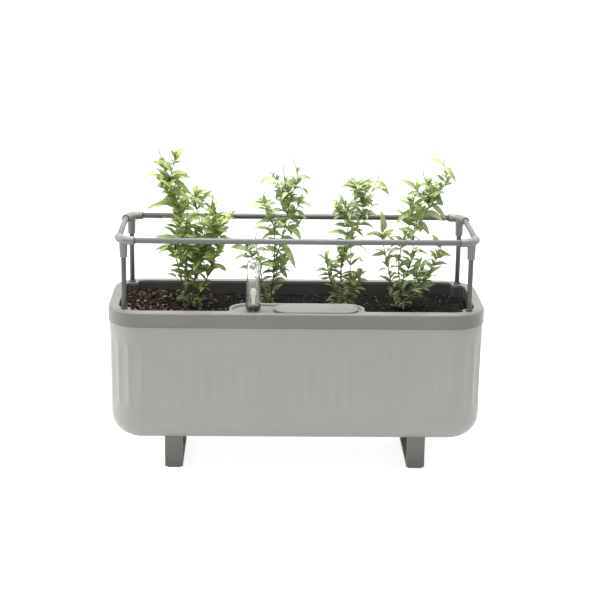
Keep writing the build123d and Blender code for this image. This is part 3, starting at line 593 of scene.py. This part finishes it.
def soil_rise(x, y):
    """The soil's height: banked up at the left end and a little at the right one, rolling and crumbly."""
    bank = 7.5 * clamped((-x - 95.0) / 110.0) + 3.0 * clamped((x - 150.0) / 80.0)
    rolling = 2.6 * noise.noise((x / 34.0, y / 30.0, 3.1)) + 2.0 * noise.noise((x / 11.0, y / 11.0, 7.7))
    crumbs = 1.9 * abs(noise.noise((x / 4.6, y / 4.6, 1.4))) + 0.9 * noise.noise((x / 2.1, y / 2.1, 5.5))
    return SOIL_TOP - 1.2 + bank + rolling + crumbs


def into_room(x, y):
    """The place itself, or the place at the room's edge that it is drawn in to."""
    nudge = 0.05
    for _ in range(3):
        past = planting_room(x, y)
        if past > 0:
            slope_x = (planting_room(x + nudge, y) - past) / nudge
            slope_y = (planting_room(x, y + nudge) - past) / nudge
            size = max(math.hypot(slope_x, slope_y), 0.3)
            x -= past * slope_x / size
            y -= past * slope_y / size
    return x, y


def build_soil():
    """The soil's bed: a fine grid over its room, with walls down to the liner's floor."""
    step, half_x, half_y = 2.2, 248, 84
    columns, lines = int(2 * half_x / step), int(2 * half_y / step)
    spots, index, points, faces = {}, {}, [], []
    for i in range(columns + 1):
        for j in range(lines + 1):
            spots[i, j] = (-half_x + i * step, -half_y + j * step)
    inside = {key for key, (x, y) in spots.items() if planting_room(x, y) < 0}

    def corner(key):
        if key not in index:
            x, y = into_room(*spots[key])
            index[key] = len(points)
            points.append((x, y, soil_rise(x, y)))
        return index[key]

    for i in range(columns):
        for j in range(lines):
            keys = [(i, j), (i + 1, j), (i + 1, j + 1), (i, j + 1)]
            if sum(key in inside for key in keys) >= 2:
                faces.append(tuple(corner(key) for key in keys))
    sides = {(face[k], face[(k + 1) % 4]): True for face in faces for k in range(4)}
    rim = [edge for edge in sides if (edge[1], edge[0]) not in sides]
    low = {}
    for a, b in rim:
        for end in (a, b):
            if end not in low:
                low[end] = len(points)
                points.append((points[end][0], points[end][1], LINER_FLOOR + 1.0))
        faces.append((b, a, low[a], low[b]))
    piece("soil_bed", points, faces, soil_look(), "liner", ["soil"], smooth=60.0)


class Growth:
    """One mesh that is grown piece by piece, with its own surface coordinates."""

    def __init__(self):
        self.points, self.faces, self.places, self.count = [], [], [], 0

    def add(self, points, faces, places):
        start = len(self.points)
        self.points += [tuple(point) for point in points]
        self.faces += [tuple(start + i for i in face) for face in faces]
        self.places += places
        self.count += 1

    def build(self, name, finish, slot, replaces=(), smooth=40.0):
        holder = piece(name, self.points, self.faces, finish, "liner", replaces, smooth)
        layer = holder.data.uv_layers.new(name="grown")
        for loop in holder.data.loops:
            layer.data[loop.index].uv = self.places[loop.vertex_index]


def chip(growth, rng, middle, size):
    """One crumb or bark chip: a dented block with cut corners."""
    turn = Matrix.Rotation(rng.uniform(0, 6.28), 3, "Z") @ Matrix.Rotation(rng.uniform(-0.6, 0.6), 3, "X")
    turn = turn @ Matrix.Rotation(rng.uniform(-0.6, 0.6), 3, "Y")
    points = []
    for z, girth in ((-0.5, 0.62), (-0.1, 1.0), (0.5, 0.58)):
        for k in range(6):
            angle = 1.047 * k + rng.uniform(-0.3, 0.3)
            wide = 0.5 * girth * rng.uniform(0.75, 1.1)
            x, y = math.cos(angle) * wide * size[0], math.sin(angle) * wide * size[1]
            points.append(Vector((x, y, z * size[2])))
    faces = lattice(3, 6) + [tuple(range(12, 18)), tuple(reversed(range(6)))]
    places = [(growth.count + 0.2 + 0.1 * (k % 6), k / 18) for k in range(18)]
    growth.add([middle + turn @ point for point in points], faces, places)


def scatter_soil():
    """Bark chips and pale grit on the soil, more and larger at the left."""
    rng = random.Random(11)
    bark, grit = Growth(), Growth()
    while bark.count < BARK_CHIPS:
        x, y = rng.uniform(-REACH_X, REACH_X), rng.uniform(-REACH_Y, REACH_Y)
        if planting_room(x, y) > -3.0:
            continue
        left = clamped((-x - 60.0) / 120.0)
        if rng.random() > 0.45 + 0.55 * left:
            continue
        long = rng.uniform(1.5, 4.4) + left * rng.uniform(0.0, 5.6)
        size = (long, long * rng.uniform(0.22, 0.66), long * rng.uniform(0.18, 0.5))
        chip(bark, rng, Vector((x, y, soil_rise(x, y) + size[2] * rng.uniform(0.0, 0.4))), size)
    while grit.count < GRIT_GRAINS:
        x, y = rng.uniform(-REACH_X, REACH_X), rng.uniform(-REACH_Y, REACH_Y)
        if planting_room(x, y) > -2.0 or (x > 0 and rng.random() < 0.35):
            continue
        size = rng.choice([0.8, 1.0, 1.2, 1.5, 2.3])
        chip(grit, rng, Vector((x, y, soil_rise(x, y) + size * 0.35)), (size, size * 0.85, size * 0.8))
    bark.build("soil_bark", bark_look(), "soil", smooth=25.0)
    grit.build("soil_grit", grit_look(), "soil", smooth=35.0)


def per_piece(finish):
    """A random number for each grown piece, from its coordinate's whole part, and the place on the piece."""
    across, along, _ = finish.split(finish.add("ShaderNodeUVMap").outputs["UV"])
    chance = finish.add("ShaderNodeTexWhiteNoise", noise_dimensions="1D")
    finish.feed(chance, W=finish.calc("FLOOR", across))
    return chance.outputs["Value"], finish.calc("FRACT", across), along


def soil_look():
    finish = Finish("soil_peat")
    fine = finish.noise(420.0, 6.0, 0.75)
    peat = finish.ramp(fine, dyes((0.3, 7, 6, 5), (0.5, 17, 15, 13), (0.66, 38, 34, 30), (0.82, 88, 82, 75)))
    damp = finish.ramp(finish.noise(16.0, 3.0), [(0.42, 0.0), (0.62, 1.0)])
    finish.base(finish.mix(damp, peat, colour(12, 10, 9)))
    finish.set(Specular_IOR_Level=0.12)
    finish.roughness(0.75, 0.95, 200.0)
    finish.bump(finish.cells(520.0), 0.0009)
    finish.bump(fine, 0.0012)
    return finish


def bark_look():
    """Brown bark at the left, charcoal crumbs elsewhere."""
    finish = Finish("soil_bark")
    chance = per_piece(finish)[0]
    brown = dyes((0.0, 15, 12, 10), (0.4, 38, 30, 25), (0.66, 80, 62, 48), (0.88, 124, 100, 82),
                 (1.0, 172, 156, 138))
    black = dyes((0.0, 10, 9, 9), (0.4, 26, 24, 22), (0.72, 62, 58, 54), (1.0, 120, 114, 108))
    rightward = finish.grade(finish.split(finish.place)["X"], -0.15, -0.07)
    grainy = finish.patches(finish.noise(900.0, 5.0, 0.7), 0.55, 1.15)
    chips = finish.mix(rightward, finish.ramp(chance, brown), finish.ramp(chance, black))
    finish.base(finish.mix(1.0, chips, grainy, "MULTIPLY"))
    finish.set(Specular_IOR_Level=0.12)
    finish.roughness(0.6, 0.9, 500.0)
    finish.bump(finish.noise(1300.0, 4.0, 0.7), 0.0003)
    return finish


def grit_look():
    finish = Finish("soil_grit")
    greys = dyes((0.0, 64, 60, 56), (0.5, 112, 106, 100), (0.85, 168, 163, 156), (1.0, 222, 218, 212))
    stone = finish.ramp(per_piece(finish)[0], greys)
    spotted = finish.ramp(finish.noise(1500.0, 3.0), [(0.35, 0.7), (0.65, 1.05)])
    finish.base(finish.mix(1.0, stone, spotted, "MULTIPLY"))
    finish.set(Specular_IOR_Level=0.12)
    finish.roughness(0.7, 0.9, 700.0)
    finish.bump(finish.noise(2500.0, 3.0), 0.0002)
    return finish


build_soil()
scatter_soil()

# Herbs
HERB_HEIGHT, HERB_Y = 227.0, 12.0
HERB_X = [-150.0, -38.0, 68.0, 150.0]
# The usual spacing of leaf pairs, and each herb's own share of more pairs, side shoots and leaf size
PAIR_SPACING = 4.4
EXTRA_LEAVES = [1.75, 1.2, 1.55, 1.4]
SHOOTS = [30, 6, 12, 9]
LEAF_SIZE = [1.2, 1.0, 1.0, 1.0]
# Share of the small leaves that each herb keeps under each of these heights, and above the last
ZONES = (0.16, 0.48, 0.8)
FULLNESS = [(0.34, 0.72, 0.95, 0.28), (0.35, 0.5, 1.0, 0.75), (0.5, 0.6, 1.0, 0.8), (0.35, 0.65, 1.0, 0.6)]
# Side shoots start at most this high, small pairs end this far along a stem, and tufts sit just before that
SHOOT_LIMIT, PAIRS_END, TUFT_AT = 0.7, 0.88, 0.87
# As in the part, in hundredths of the herb height. A stem: the stem that it leaves, its lean to the rear for
# each unit that it rises, and its places across and up. A stem's leaves: height on it, reach across and up
STEMS = [
    [(None, 3, [(-2,4), (-9,36), (-6,60), (-13,78), (-16,88), (-19,99)]),
     (0, 5, [(-13,78), (-11,85), (-8,97)]),
     (None, -8, [(6,9), (12,22), (17,39), (15,55), (14,69)]),
     (None, 10, [(2,7), (4,26), (9,34), (8,45), (3,67), (7,73)]),
     (None, -5, [(0,4), (-2,29), (-2,46), (-1,65)])],
    [(None, -6, [(1,4), (3,27), (3,49), (1,56), (-3,66), (-4,72)]),
     (None, 5, [(1,4), (4,29), (11,59), (10,74), (8,87)]),
     (1, 7, [(11,66), (9,70), (2,83)]),
     (1, 3, [(11,66), (15,75), (17,81), (16,88)]),
     (0, 10, [(2,22), (4,30), (8,45), (16,61), (21,76)]),
     (0, -15, [(2,18), (6,26), (10,30)]),
     (None, 8, [(-2,4), (-7,31), (-9,43)]),
     (6, -2, [(-4,11), (-11,32), (-15,40)])],
    [(None, 2, [(-1,5), (-2,28), (0,34), (9,56), (11,64), (20,82)]),
     (0, 5, [(11,64), (8,75), (2,79)]),
     (0, -8, [(-1,30), (2,56), (-2,68)]),
     (None, 8, [(-5,5), (-8,17), (-10,23), (-12,36)]),
     (None, 15, [(4,6), (4,19), (4,40)]),
     (None, -10, [(3,6), (8,16), (11,27)]),
     (2, 0, [(0,60), (-6,64)])],
    [(None, -5, [(-5,5), (-7,17), (-10,31), (-13,45), (-13,54)]),
     (None, 10, [(0,5), (-2,30), (4,52), (6,66), (9,76)]),
     (1, 0, [(0,15), (6,31), (7,52), (15,63), (16,76), (13,81)]),
     (None, 8, [(7,8), (16,20), (21,30), (24,39)]),
     (2, 5, [(15,67), (17,72), (22,75), (26,81), (24,91)]),
     (None, -15, [(5,11), (7,17), (8,24)]),
     (None, 15, [(8,10), (12,18), (13,23)])],
]
LEAVES = [
    [[(9,-4,-5), (20,-8,3), (37,-11,-2), (43,-14,0), (53,-11,5), (62,-4,6), (64,-19,0), (74,-9,1),
      (77,-8,0), (80,-17,0), (87,-6,5), (88,2,3)],
     [(80,10,3), (80,14,0), (81,13,-8), (83,5,2), (90,-2,3), (90,5,1)],
     [(10,4,5), (28,10,-6), (62,0,8), (64,4,5)],
     [(12,3,3), (23,2,5), (31,-2,2), (49,8,-4), (54,12,2), (66,3,8), (66,6,-4), (69,6,4), (71,13,-5)],
     [(19,-3,5), (32,7,2), (59,24,-2), (64,-4,13)]],
    [[(10,-4,3), (33,-7,-2), (33,3,0), (49,-14,1), (49,-8,-4), (56,-10,-3), (59,6,6), (65,-8,-1),
      (67,-11,0), (68,-1,5), (68,1,4)],
     [(17,9,-1), (58,-6,-7), (64,-6,1), (64,-3,5), (76,3,4)],
     [(76,-2,-8), (79,-5,-3), (82,-9,-3), (82,-3,3), (82,1,4)],
     [(75,-3,2), (80,-3,4), (81,8,-1)],
     [(24,-7,5), (35,-11,0), (36,3,-4), (36,8,1), (42,9,-15), (50,3,-8), (52,8,-8), (57,4,-7), (62,7,-6),
      (64,6,-5), (67,8,-2), (75,3,-4)],
     [(26,5,4), (26,6,-9)],
     [(34,3,3)],
     [(24,-12,0), (32,-11,0), (36,-12,1)]],
    [[(16,3,4), (24,-3,-5), (50,5,-4), (57,4,-3), (58,10,3), (64,7,8), (74,9,4), (80,-6,-4), (81,7,-8)],
     [(75,-5,3), (76,-4,6), (76,-1,-6), (76,5,7)],
     [(40,-9,-10), (48,-12,2), (48,-5,-1), (61,-8,-3), (66,-3,7), (67,-3,1), (67,2,-4)],
     [(10,1,-4), (13,-6,1), (23,-8,1), (24,7,3), (29,-6,6), (29,2,8)],
     [(12,1,-3), (17,2,-2), (23,6,-4), (30,2,4), (38,11,-2)],
     [(18,7,-1), (19,0,8), (21,5,3)],
     [(61,-6,2), (62,-7,-3), (63,3,9)]],
    [[(14,-1,-6), (15,-3,-4), (25,-7,0), (35,-8,2), (45,-11,4), (45,8,6), (50,-2,14)],
     [(11,-6,-5), (11,3,-1), (20,-5,-3), (20,4,0), (33,-6,-2), (34,-3,-5), (36,7,-5), (37,-10,-3),
      (52,-5,7), (52,0,10), (54,8,4), (61,-10,-7), (66,-6,4), (74,-12,9)],
     [(26,3,-5), (35,9,1), (56,1,-9), (56,6,-8), (61,7,4), (62,10,-5), (68,13,-14), (78,-2,6), (79,-8,-5),
      (80,4,4)],
     [(13,8,-3), (28,-5,4), (28,6,-1), (33,-3,2), (33,10,-1), (37,6,-3), (38,-5,8), (38,8,6)],
     [(69,-9,3), (71,8,4), (74,5,-11), (82,5,2), (90,-10,3), (90,7,-8)],
     [(22,8,-3), (23,-2,7), (23,5,10)],
     [(14,2,-8), (22,2,8)]]
]


def shares(rows):
    """Hundredths of the herb height as shares of it."""
    return [tuple(value / 100 for value in row) for row in rows]


def on_path(path, rise):
    for low, high in zip(path, path[1:]):
        if rise <= high.z:
            return low + (high - low) * ((rise - low.z) / (high.z - low.z))
    return path[-1].copy()


def stem_paths(number):
    paths = []
    for parent, lean, places in STEMS[number]:
        places = shares(places)
        if parent is None:
            start = Vector((HERB_X[number] + 0.4 * places[0][0] * HERB_HEIGHT, HERB_Y, SOIL_TOP))
        else:
            start = on_path(paths[parent], SOIL_TOP + places[0][1] * HERB_HEIGHT)
            places = places[1:]
        path = [start]
        for across, up in places:
            rise = SOIL_TOP + up * HERB_HEIGHT
            deep = start.y + lean / 100 * (rise - start.z)
            path.append(Vector((HERB_X[number] + across * HERB_HEIGHT, deep, rise)))
        paths.append(path)
    return paths


def smoothed(path, steps=6):
    """A smooth line through the places of a path."""
    line = []
    for i in range(len(path) - 1):
        before, low, high, after = path[max(i - 1, 0)], path[i], path[i + 1], path[min(i + 2, len(path) - 1)]
        square = 2 * before - 5 * low + 4 * high - after
        cube = 3 * low - before - 3 * high + after
        for k in range(steps):
            t = k / steps
            line.append(0.5 * (2 * low + (high - before) * t + square * t ** 2 + cube * t ** 3))
    return line + [path[-1].copy()]


def grow_stem(growth, line, thick, thin, around=7, tone=(0.0, 1.0)):
    """A round stem that tapers along a line, with swollen joints; tone is its share of the stem's colours."""
    points, places = [], []
    side = Vector((1, 0, 0))
    for i, place in enumerate(line):
        ahead = (line[min(i + 1, len(line) - 1)] - line[max(i - 1, 0)]).normalized()
        side = (side - ahead * side.dot(ahead)).normalized()
        up = ahead.cross(side)
        grown = i / (len(line) - 1)
        radius = (thick + (thin - thick) * grown) * (1.18 if i % 5 == 0 else 1.0)
        for k, angle in enumerate(circle(around)):
            points.append(place + (side * math.cos(angle) + up * math.sin(angle)) * radius)
            places.append((growth.count + 0.1 + 0.8 * k / around, tone[0] + (tone[1] - tone[0]) * grown))
    faces = lattice(len(line), around)
    faces.append(tuple(range(len(points) - around, len(points))))
    growth.add(points, faces, places)


def grow_leaf(growth, rng, base, reach, width, droop=0.16):
    """A lance-shaped leaf: folded along its midrib, arched, drooping at the tip and gently waved."""
    long = reach.length
    along = reach.normalized()
    across = along.cross(Vector((rng.uniform(-0.3, 0.3), -rng.uniform(0.3, 1.1), 1)))
    if across.length < 0.3:
        across = along.cross(Vector((0, -1, 0.1)))
    across = Matrix.Rotation(rng.uniform(-0.4, 0.4), 3, along) @ across.normalized()
    upward = across.cross(along)
    fold = rng.uniform(0.12, 0.5)
    wave = rng.uniform(0, 6.28)
    curl = rng.uniform(0.5, 1.5) * droop
    sway = rng.uniform(-0.07, 0.07)
    count = 9 if long > 9 else 6
    points, places = [], []
    for i in range(count + 1):
        t = i / count
        girth = 0.5 * width * (math.sin(math.pi * min(t ** 0.78, 1.0)) ** 0.85 if 0 < t < 1 else 0.0)
        girth = max(girth, 0.22 if t < 0.12 else 0.06)
        arch = long * curl * (4 * t * (1 - t)) * 0.7 - long * curl * 0.5 * t ** 3
        spine = base + reach * t + upward * arch
        spine = spine + across * (long * sway * math.sin(math.pi * t))
        ripple = 0.05 * width * math.sin(7.0 * t + wave)
        for k, offset in enumerate((-1.0, -0.55, 0.0, 0.55, 1.0)):
            lift = fold * abs(offset) * girth * (1.0 - 0.35 * abs(offset)) + ripple * offset * abs(offset)
            points.append(spine + across * (offset * girth) + upward * lift)
            places.append((growth.count + 0.1 + 0.2 * k, t))
    growth.add(points, lattice(count + 1, 5, closed=False), places)


def leaf_pairs(leaves, rng, line, spacing, last, fullness, size):
    """Opposite pairs of small leaves along a stem, each pair turned from the one below; fewer low down."""
    length = sum((b - a).length for a, b in zip(line, line[1:]))
    pairs = max(int(length / spacing), 2)
    swing = rng.uniform(0, 3.14)
    for i in range(pairs):
        share = (i + rng.uniform(0.2, 0.8)) / pairs
        swing += 1.57 + rng.uniform(-0.4, 0.4)
        if share > last:
            continue
        spot = line[min(int(share * (len(line) - 1)), len(line) - 2)]
        height = (spot.z - SOIL_TOP) / HERB_HEIGHT
        kept = fullness[sum(height >= limit for limit in ZONES)]
        for turn in (swing, swing + 3.14):
            if rng.random() > 0.85 * kept:
                continue
            long = size * rng.uniform(14.0, 31.0) * (1.0 - 0.3 * share)
            long *= 0.62 + 0.38 * min(height / 0.3, 1.0)
            reach = Vector((math.cos(turn), math.sin(turn), rng.uniform(-0.2, 1.0))).normalized() * long
            grow_leaf(leaves, rng, spot, reach, long * rng.uniform(0.23, 0.34), droop=0.22)


def side_shoots(stems, leaves, rng, lines, count, fullness, size):
    """Short leafy shoots from the middle of the stems."""
    for _ in range(count):
        line = rng.choice(lines)
        base = line[int(rng.uniform(0.2, 0.8) * (len(line) - 1))]
        if base.z > SOIL_TOP + SHOOT_LIMIT * HERB_HEIGHT:
            continue
        turn = rng.uniform(0, 6.28)
        long = rng.uniform(20.0, 40.0)
        ahead = Vector((math.cos(turn), 0.8 * math.sin(turn), rng.uniform(0.6, 1.5))).normalized() * long
        sagging, lifting = Vector((0, 0, 2.0)), Vector((0, 0, 0.1 * long))
        shoot = smoothed([base, base + ahead * 0.5 - sagging, base + ahead + lifting], 4)
        grow_stem(stems, shoot, 0.6, 0.32, around=6)
        leaf_pairs(leaves, rng, shoot, 6.0, 1.0, fullness, size)


def bare_tip(stems, rng, line):
    """A thin dried filament that stands above a stem's last leaves."""
    tip = line[-1]
    rise = min(rng.uniform(7.0, 15.0), SOIL_TOP + HERB_HEIGHT - 3.0 - tip.z)
    if rise < 4.0:
        return
    lean = Vector((rng.uniform(-0.35, 0.35), rng.uniform(-0.2, 0.2), 1.0)) * rise
    bow = Vector((rng.uniform(-1.5, 1.5), 0.0, 0.0))
    line = smoothed([tip, tip + lean * 0.5 + bow, tip + lean], 4)
    grow_stem(stems, line, 0.45, 0.3, around=6, tone=(0.9, 1.0))


def grow_herb(number, stem_finish, leaf_finish):
    """One herb: the part's stems and leaves, small leaves at the joints and tufts at the tips."""
    rng = random.Random(100 + number)
    stems, leaves = Growth(), Growth()
    paths = stem_paths(number)
    lines = [smoothed(path) for path in paths]
    fullness, size = FULLNESS[number], LEAF_SIZE[number]
    side = 1
    for path, line, listed, (parent, _, _) in zip(paths, lines, LEAVES[number], STEMS[number]):
        grow_stem(stems, line, 1.15 if parent is None else 0.85, 0.42)
        for rise, across, up in shares(listed):
            side = -side
            reach = Vector((across, side * 0.5 * math.hypot(across, up), up)) * HERB_HEIGHT
            width = min(reach.length * 0.3, 8.5) * rng.uniform(0.9, 1.15)
            grow_leaf(leaves, rng, on_path(path, SOIL_TOP + rise * HERB_HEIGHT), reach, width)
        leaf_pairs(leaves, rng, line, PAIR_SPACING / EXTRA_LEAVES[number], PAIRS_END, fullness, size)
        bare_tip(stems, rng, line)
        tip = line[int(TUFT_AT * (len(line) - 1))]
        for i in range(5):
            turn = 1.57 * i + rng.uniform(-0.3, 0.3)
            ahead = Vector((math.cos(turn) * 0.5, math.sin(turn) * 0.5, 1.0)).normalized()
            reach = ahead * rng.uniform(7.0, 13.0)
            grow_leaf(leaves, rng, tip, reach, reach.length * 0.28, droop=0.08)
    side_shoots(stems, leaves, rng, lines, SHOOTS[number], fullness, size)
    for _ in range(12):
        turn = rng.uniform(0, 6.28)
        spread = rng.uniform(1.0, 9.0)
        x, y = HERB_X[number] + spread * math.cos(turn), HERB_Y + spread * math.sin(turn)
        foot = Vector((x, y, SOIL_TOP + rng.uniform(-1.0, 12.0)))
        ahead = Vector((math.cos(turn), math.sin(turn), rng.uniform(-0.4, 0.9))).normalized()
        reach = ahead * rng.uniform(7.0, 13.0)
        grow_leaf(leaves, rng, foot, reach, reach.length * 0.34)
    name = "herb_%d" % (number + 1)
    stems.build(name + "_stems", stem_finish, "herb", [name])
    leaves.build(name + "_leaves", leaf_finish, "herb", smooth=70.0)


def stem_look():
    finish = Finish("herb_stem")
    along = per_piece(finish)[2]
    ripening = dyes((0.0, 66, 62, 40), (0.35, 86, 96, 48), (0.75, 112, 128, 66), (1.0, 118, 108, 112))
    green = finish.ramp(along, ripening)
    patchy = finish.patches(finish.noise(260.0, 4.0, 0.6), 0.72, 1.12)
    finish.base(finish.mix(1.0, green, patchy, "MULTIPLY"))
    finish.roughness(0.45, 0.7, 300.0)
    finish.bump(finish.noise(700.0, 3.0, 0.6, stretch=(1, 1, 0.2)), 0.0002)
    return finish


def leaf_look():
    """Leaves that differ one by one: painted shade darker low down and painted light a little brighter high
    up, greyer to the right, with pale ribs and undersides.
    """
    finish = Finish("herb_leaf")
    chance, part, along = per_piece(finish)
    x, _, z = finish.split(finish.place)
    greens = dyes((0.0, 124, 144, 66), (0.35, 147, 165, 86), (0.7, 164, 181, 106), (1.0, 180, 196, 130))
    fresh = finish.ramp(chance, greens)
    fresh = finish.mix(finish.grade(x, -0.10, -0.07, 0.34), fresh, colour(178, 188, 152))
    # Painted shade and light by height: leaves near the soil darkened, the highest a little brightened
    painted_height_shade = finish.ramp(z, [(0.225, 0.46), (0.26, 0.84), (0.31, 1.06), (0.38, 1.06)])
    blotched = finish.patches(finish.noise(70.0, 4.0, 0.6), 0.88, 1.1)
    upper = finish.mix(1.0, finish.mix(1.0, fresh, painted_height_shade, "MULTIPLY"), blotched, "MULTIPLY")
    from_rib = finish.calc("ABSOLUTE", finish.calc("SUBTRACT", part, 0.5))
    rib = finish.ramp(from_rib, [(0.0, 1.0), (0.07, 0.0)])
    upper = finish.mix(rib, upper, finish.mix(0.45, upper, colour(206, 216, 150)))
    under = finish.mix(0.55, upper, colour(190, 204, 150))
    finish.base(finish.mix(finish.add("ShaderNodeNewGeometry").outputs["Backfacing"], upper, under))
    finish.roughness(0.38, 0.55, 150.0)
    veins = finish.calc("PINGPONG", finish.calc("MULTIPLY_ADD", along, 11.0, from_rib), 0.5)
    finish.bump(veins, 0.0002, 0.6)
    finish.bump(finish.noise(600.0, 3.0), 0.0001)
    finish.set(Specular_IOR_Level=0.4)
    return finish


def build_herbs():
    stem_finish, leaf_finish = stem_look(), leaf_look()
    for number in range(len(HERB_X)):
        grow_herb(number, stem_finish, leaf_finish)


build_herbs()


# Floor, world and lamps
def looking_rays(tree):
    """One for camera, glossy and transmission rays, which see the bright studio; nought for the rest."""
    rays = tree.nodes.new("ShaderNodeLightPath")
    found = rays.outputs["Is Camera Ray"]
    for kind in ("Is Glossy Ray", "Is Transmission Ray"):
        either = tree.nodes.new("ShaderNodeMath")
        either.operation = "MAXIMUM"
        tree.links.new(found, either.inputs[0])
        tree.links.new(rays.outputs[kind], either.inputs[1])
        found = either.outputs[0]
    return found


def set_floor():
    mesh = bpy.data.meshes.new("floor")
    mesh.from_pydata([(-12, -12, 0), (12, -12, 0), (12, 12, 0), (-12, 12, 0)], [], [(0, 1, 2, 3)])
    floor = put("floor", mesh)
    finish = Finish("floor")
    finish.base(finish.ramp(finish.noise(2.0), [(0.4, 0.60), (0.6, 0.62)]))
    finish.set(Roughness=0.9, Specular_IOR_Level=0.0)
    strength = finish.calc("MULTIPLY", looking_rays(finish.tree), 0.84)
    glow = finish.feed(finish.add("ShaderNodeEmission"), Strength=strength)
    both = finish.add("ShaderNodeAddShader")
    finish.fill(both.inputs, (finish.shader.outputs[0], glow.outputs[0]))
    finish.feed(finish.tree.nodes["Material Output"], Surface=both.outputs[0])
    mesh.materials.append(finish.material)


def set_world():
    world = bpy.data.worlds.new("studio")
    bpy.context.scene.world = world
    world.use_nodes = True
    tree = world.node_tree
    backdrop = tree.nodes["Background"]
    backdrop.inputs["Color"].default_value = (1, 1, 1, 1)
    span = tree.nodes.new("ShaderNodeMapRange")
    span.inputs["To Min"].default_value, span.inputs["To Max"].default_value = 0.30, 1.0
    tree.links.new(looking_rays(tree), span.inputs["Value"])
    tree.links.new(span.outputs["Result"], backdrop.inputs["Strength"])


def lamp(name, place, target, size, power):
    light = bpy.data.lights.new(name, "AREA")
    light.shape = "RECTANGLE"
    light.size, light.size_y = size
    light.energy = power
    holder = put(name, light)
    holder.location = place
    holder.rotation_euler = (Vector(target) - Vector(place)).to_track_quat("-Z", "Y").to_euler()
    holder.visible_camera = False


set_floor()
set_world()
lamp("top", (0.0, 0.15, 2.2), (0, 0, 0.2), (2.0, 1.2), 80.0)
lamp("front", (-0.3, -2.6, 1.0), (0, 0, 0.2), (2.4, 1.6), 8.0)
lamp("left", (-2.1, 0.35, 0.7), (0, 0, 0.2), (1.0, 1.4), 15.0)
lamp("left_graze", (-1.7, -0.55, 0.5), (-0.1, -0.09, 0.2), (0.25, 0.8), 1.9)
lamp("right", (2.2, 0.5, 0.8), (0, 0, 0.2), (1.0, 1.4), 5.5)

bpy.context.scene.view_settings.view_transform = "Standard"
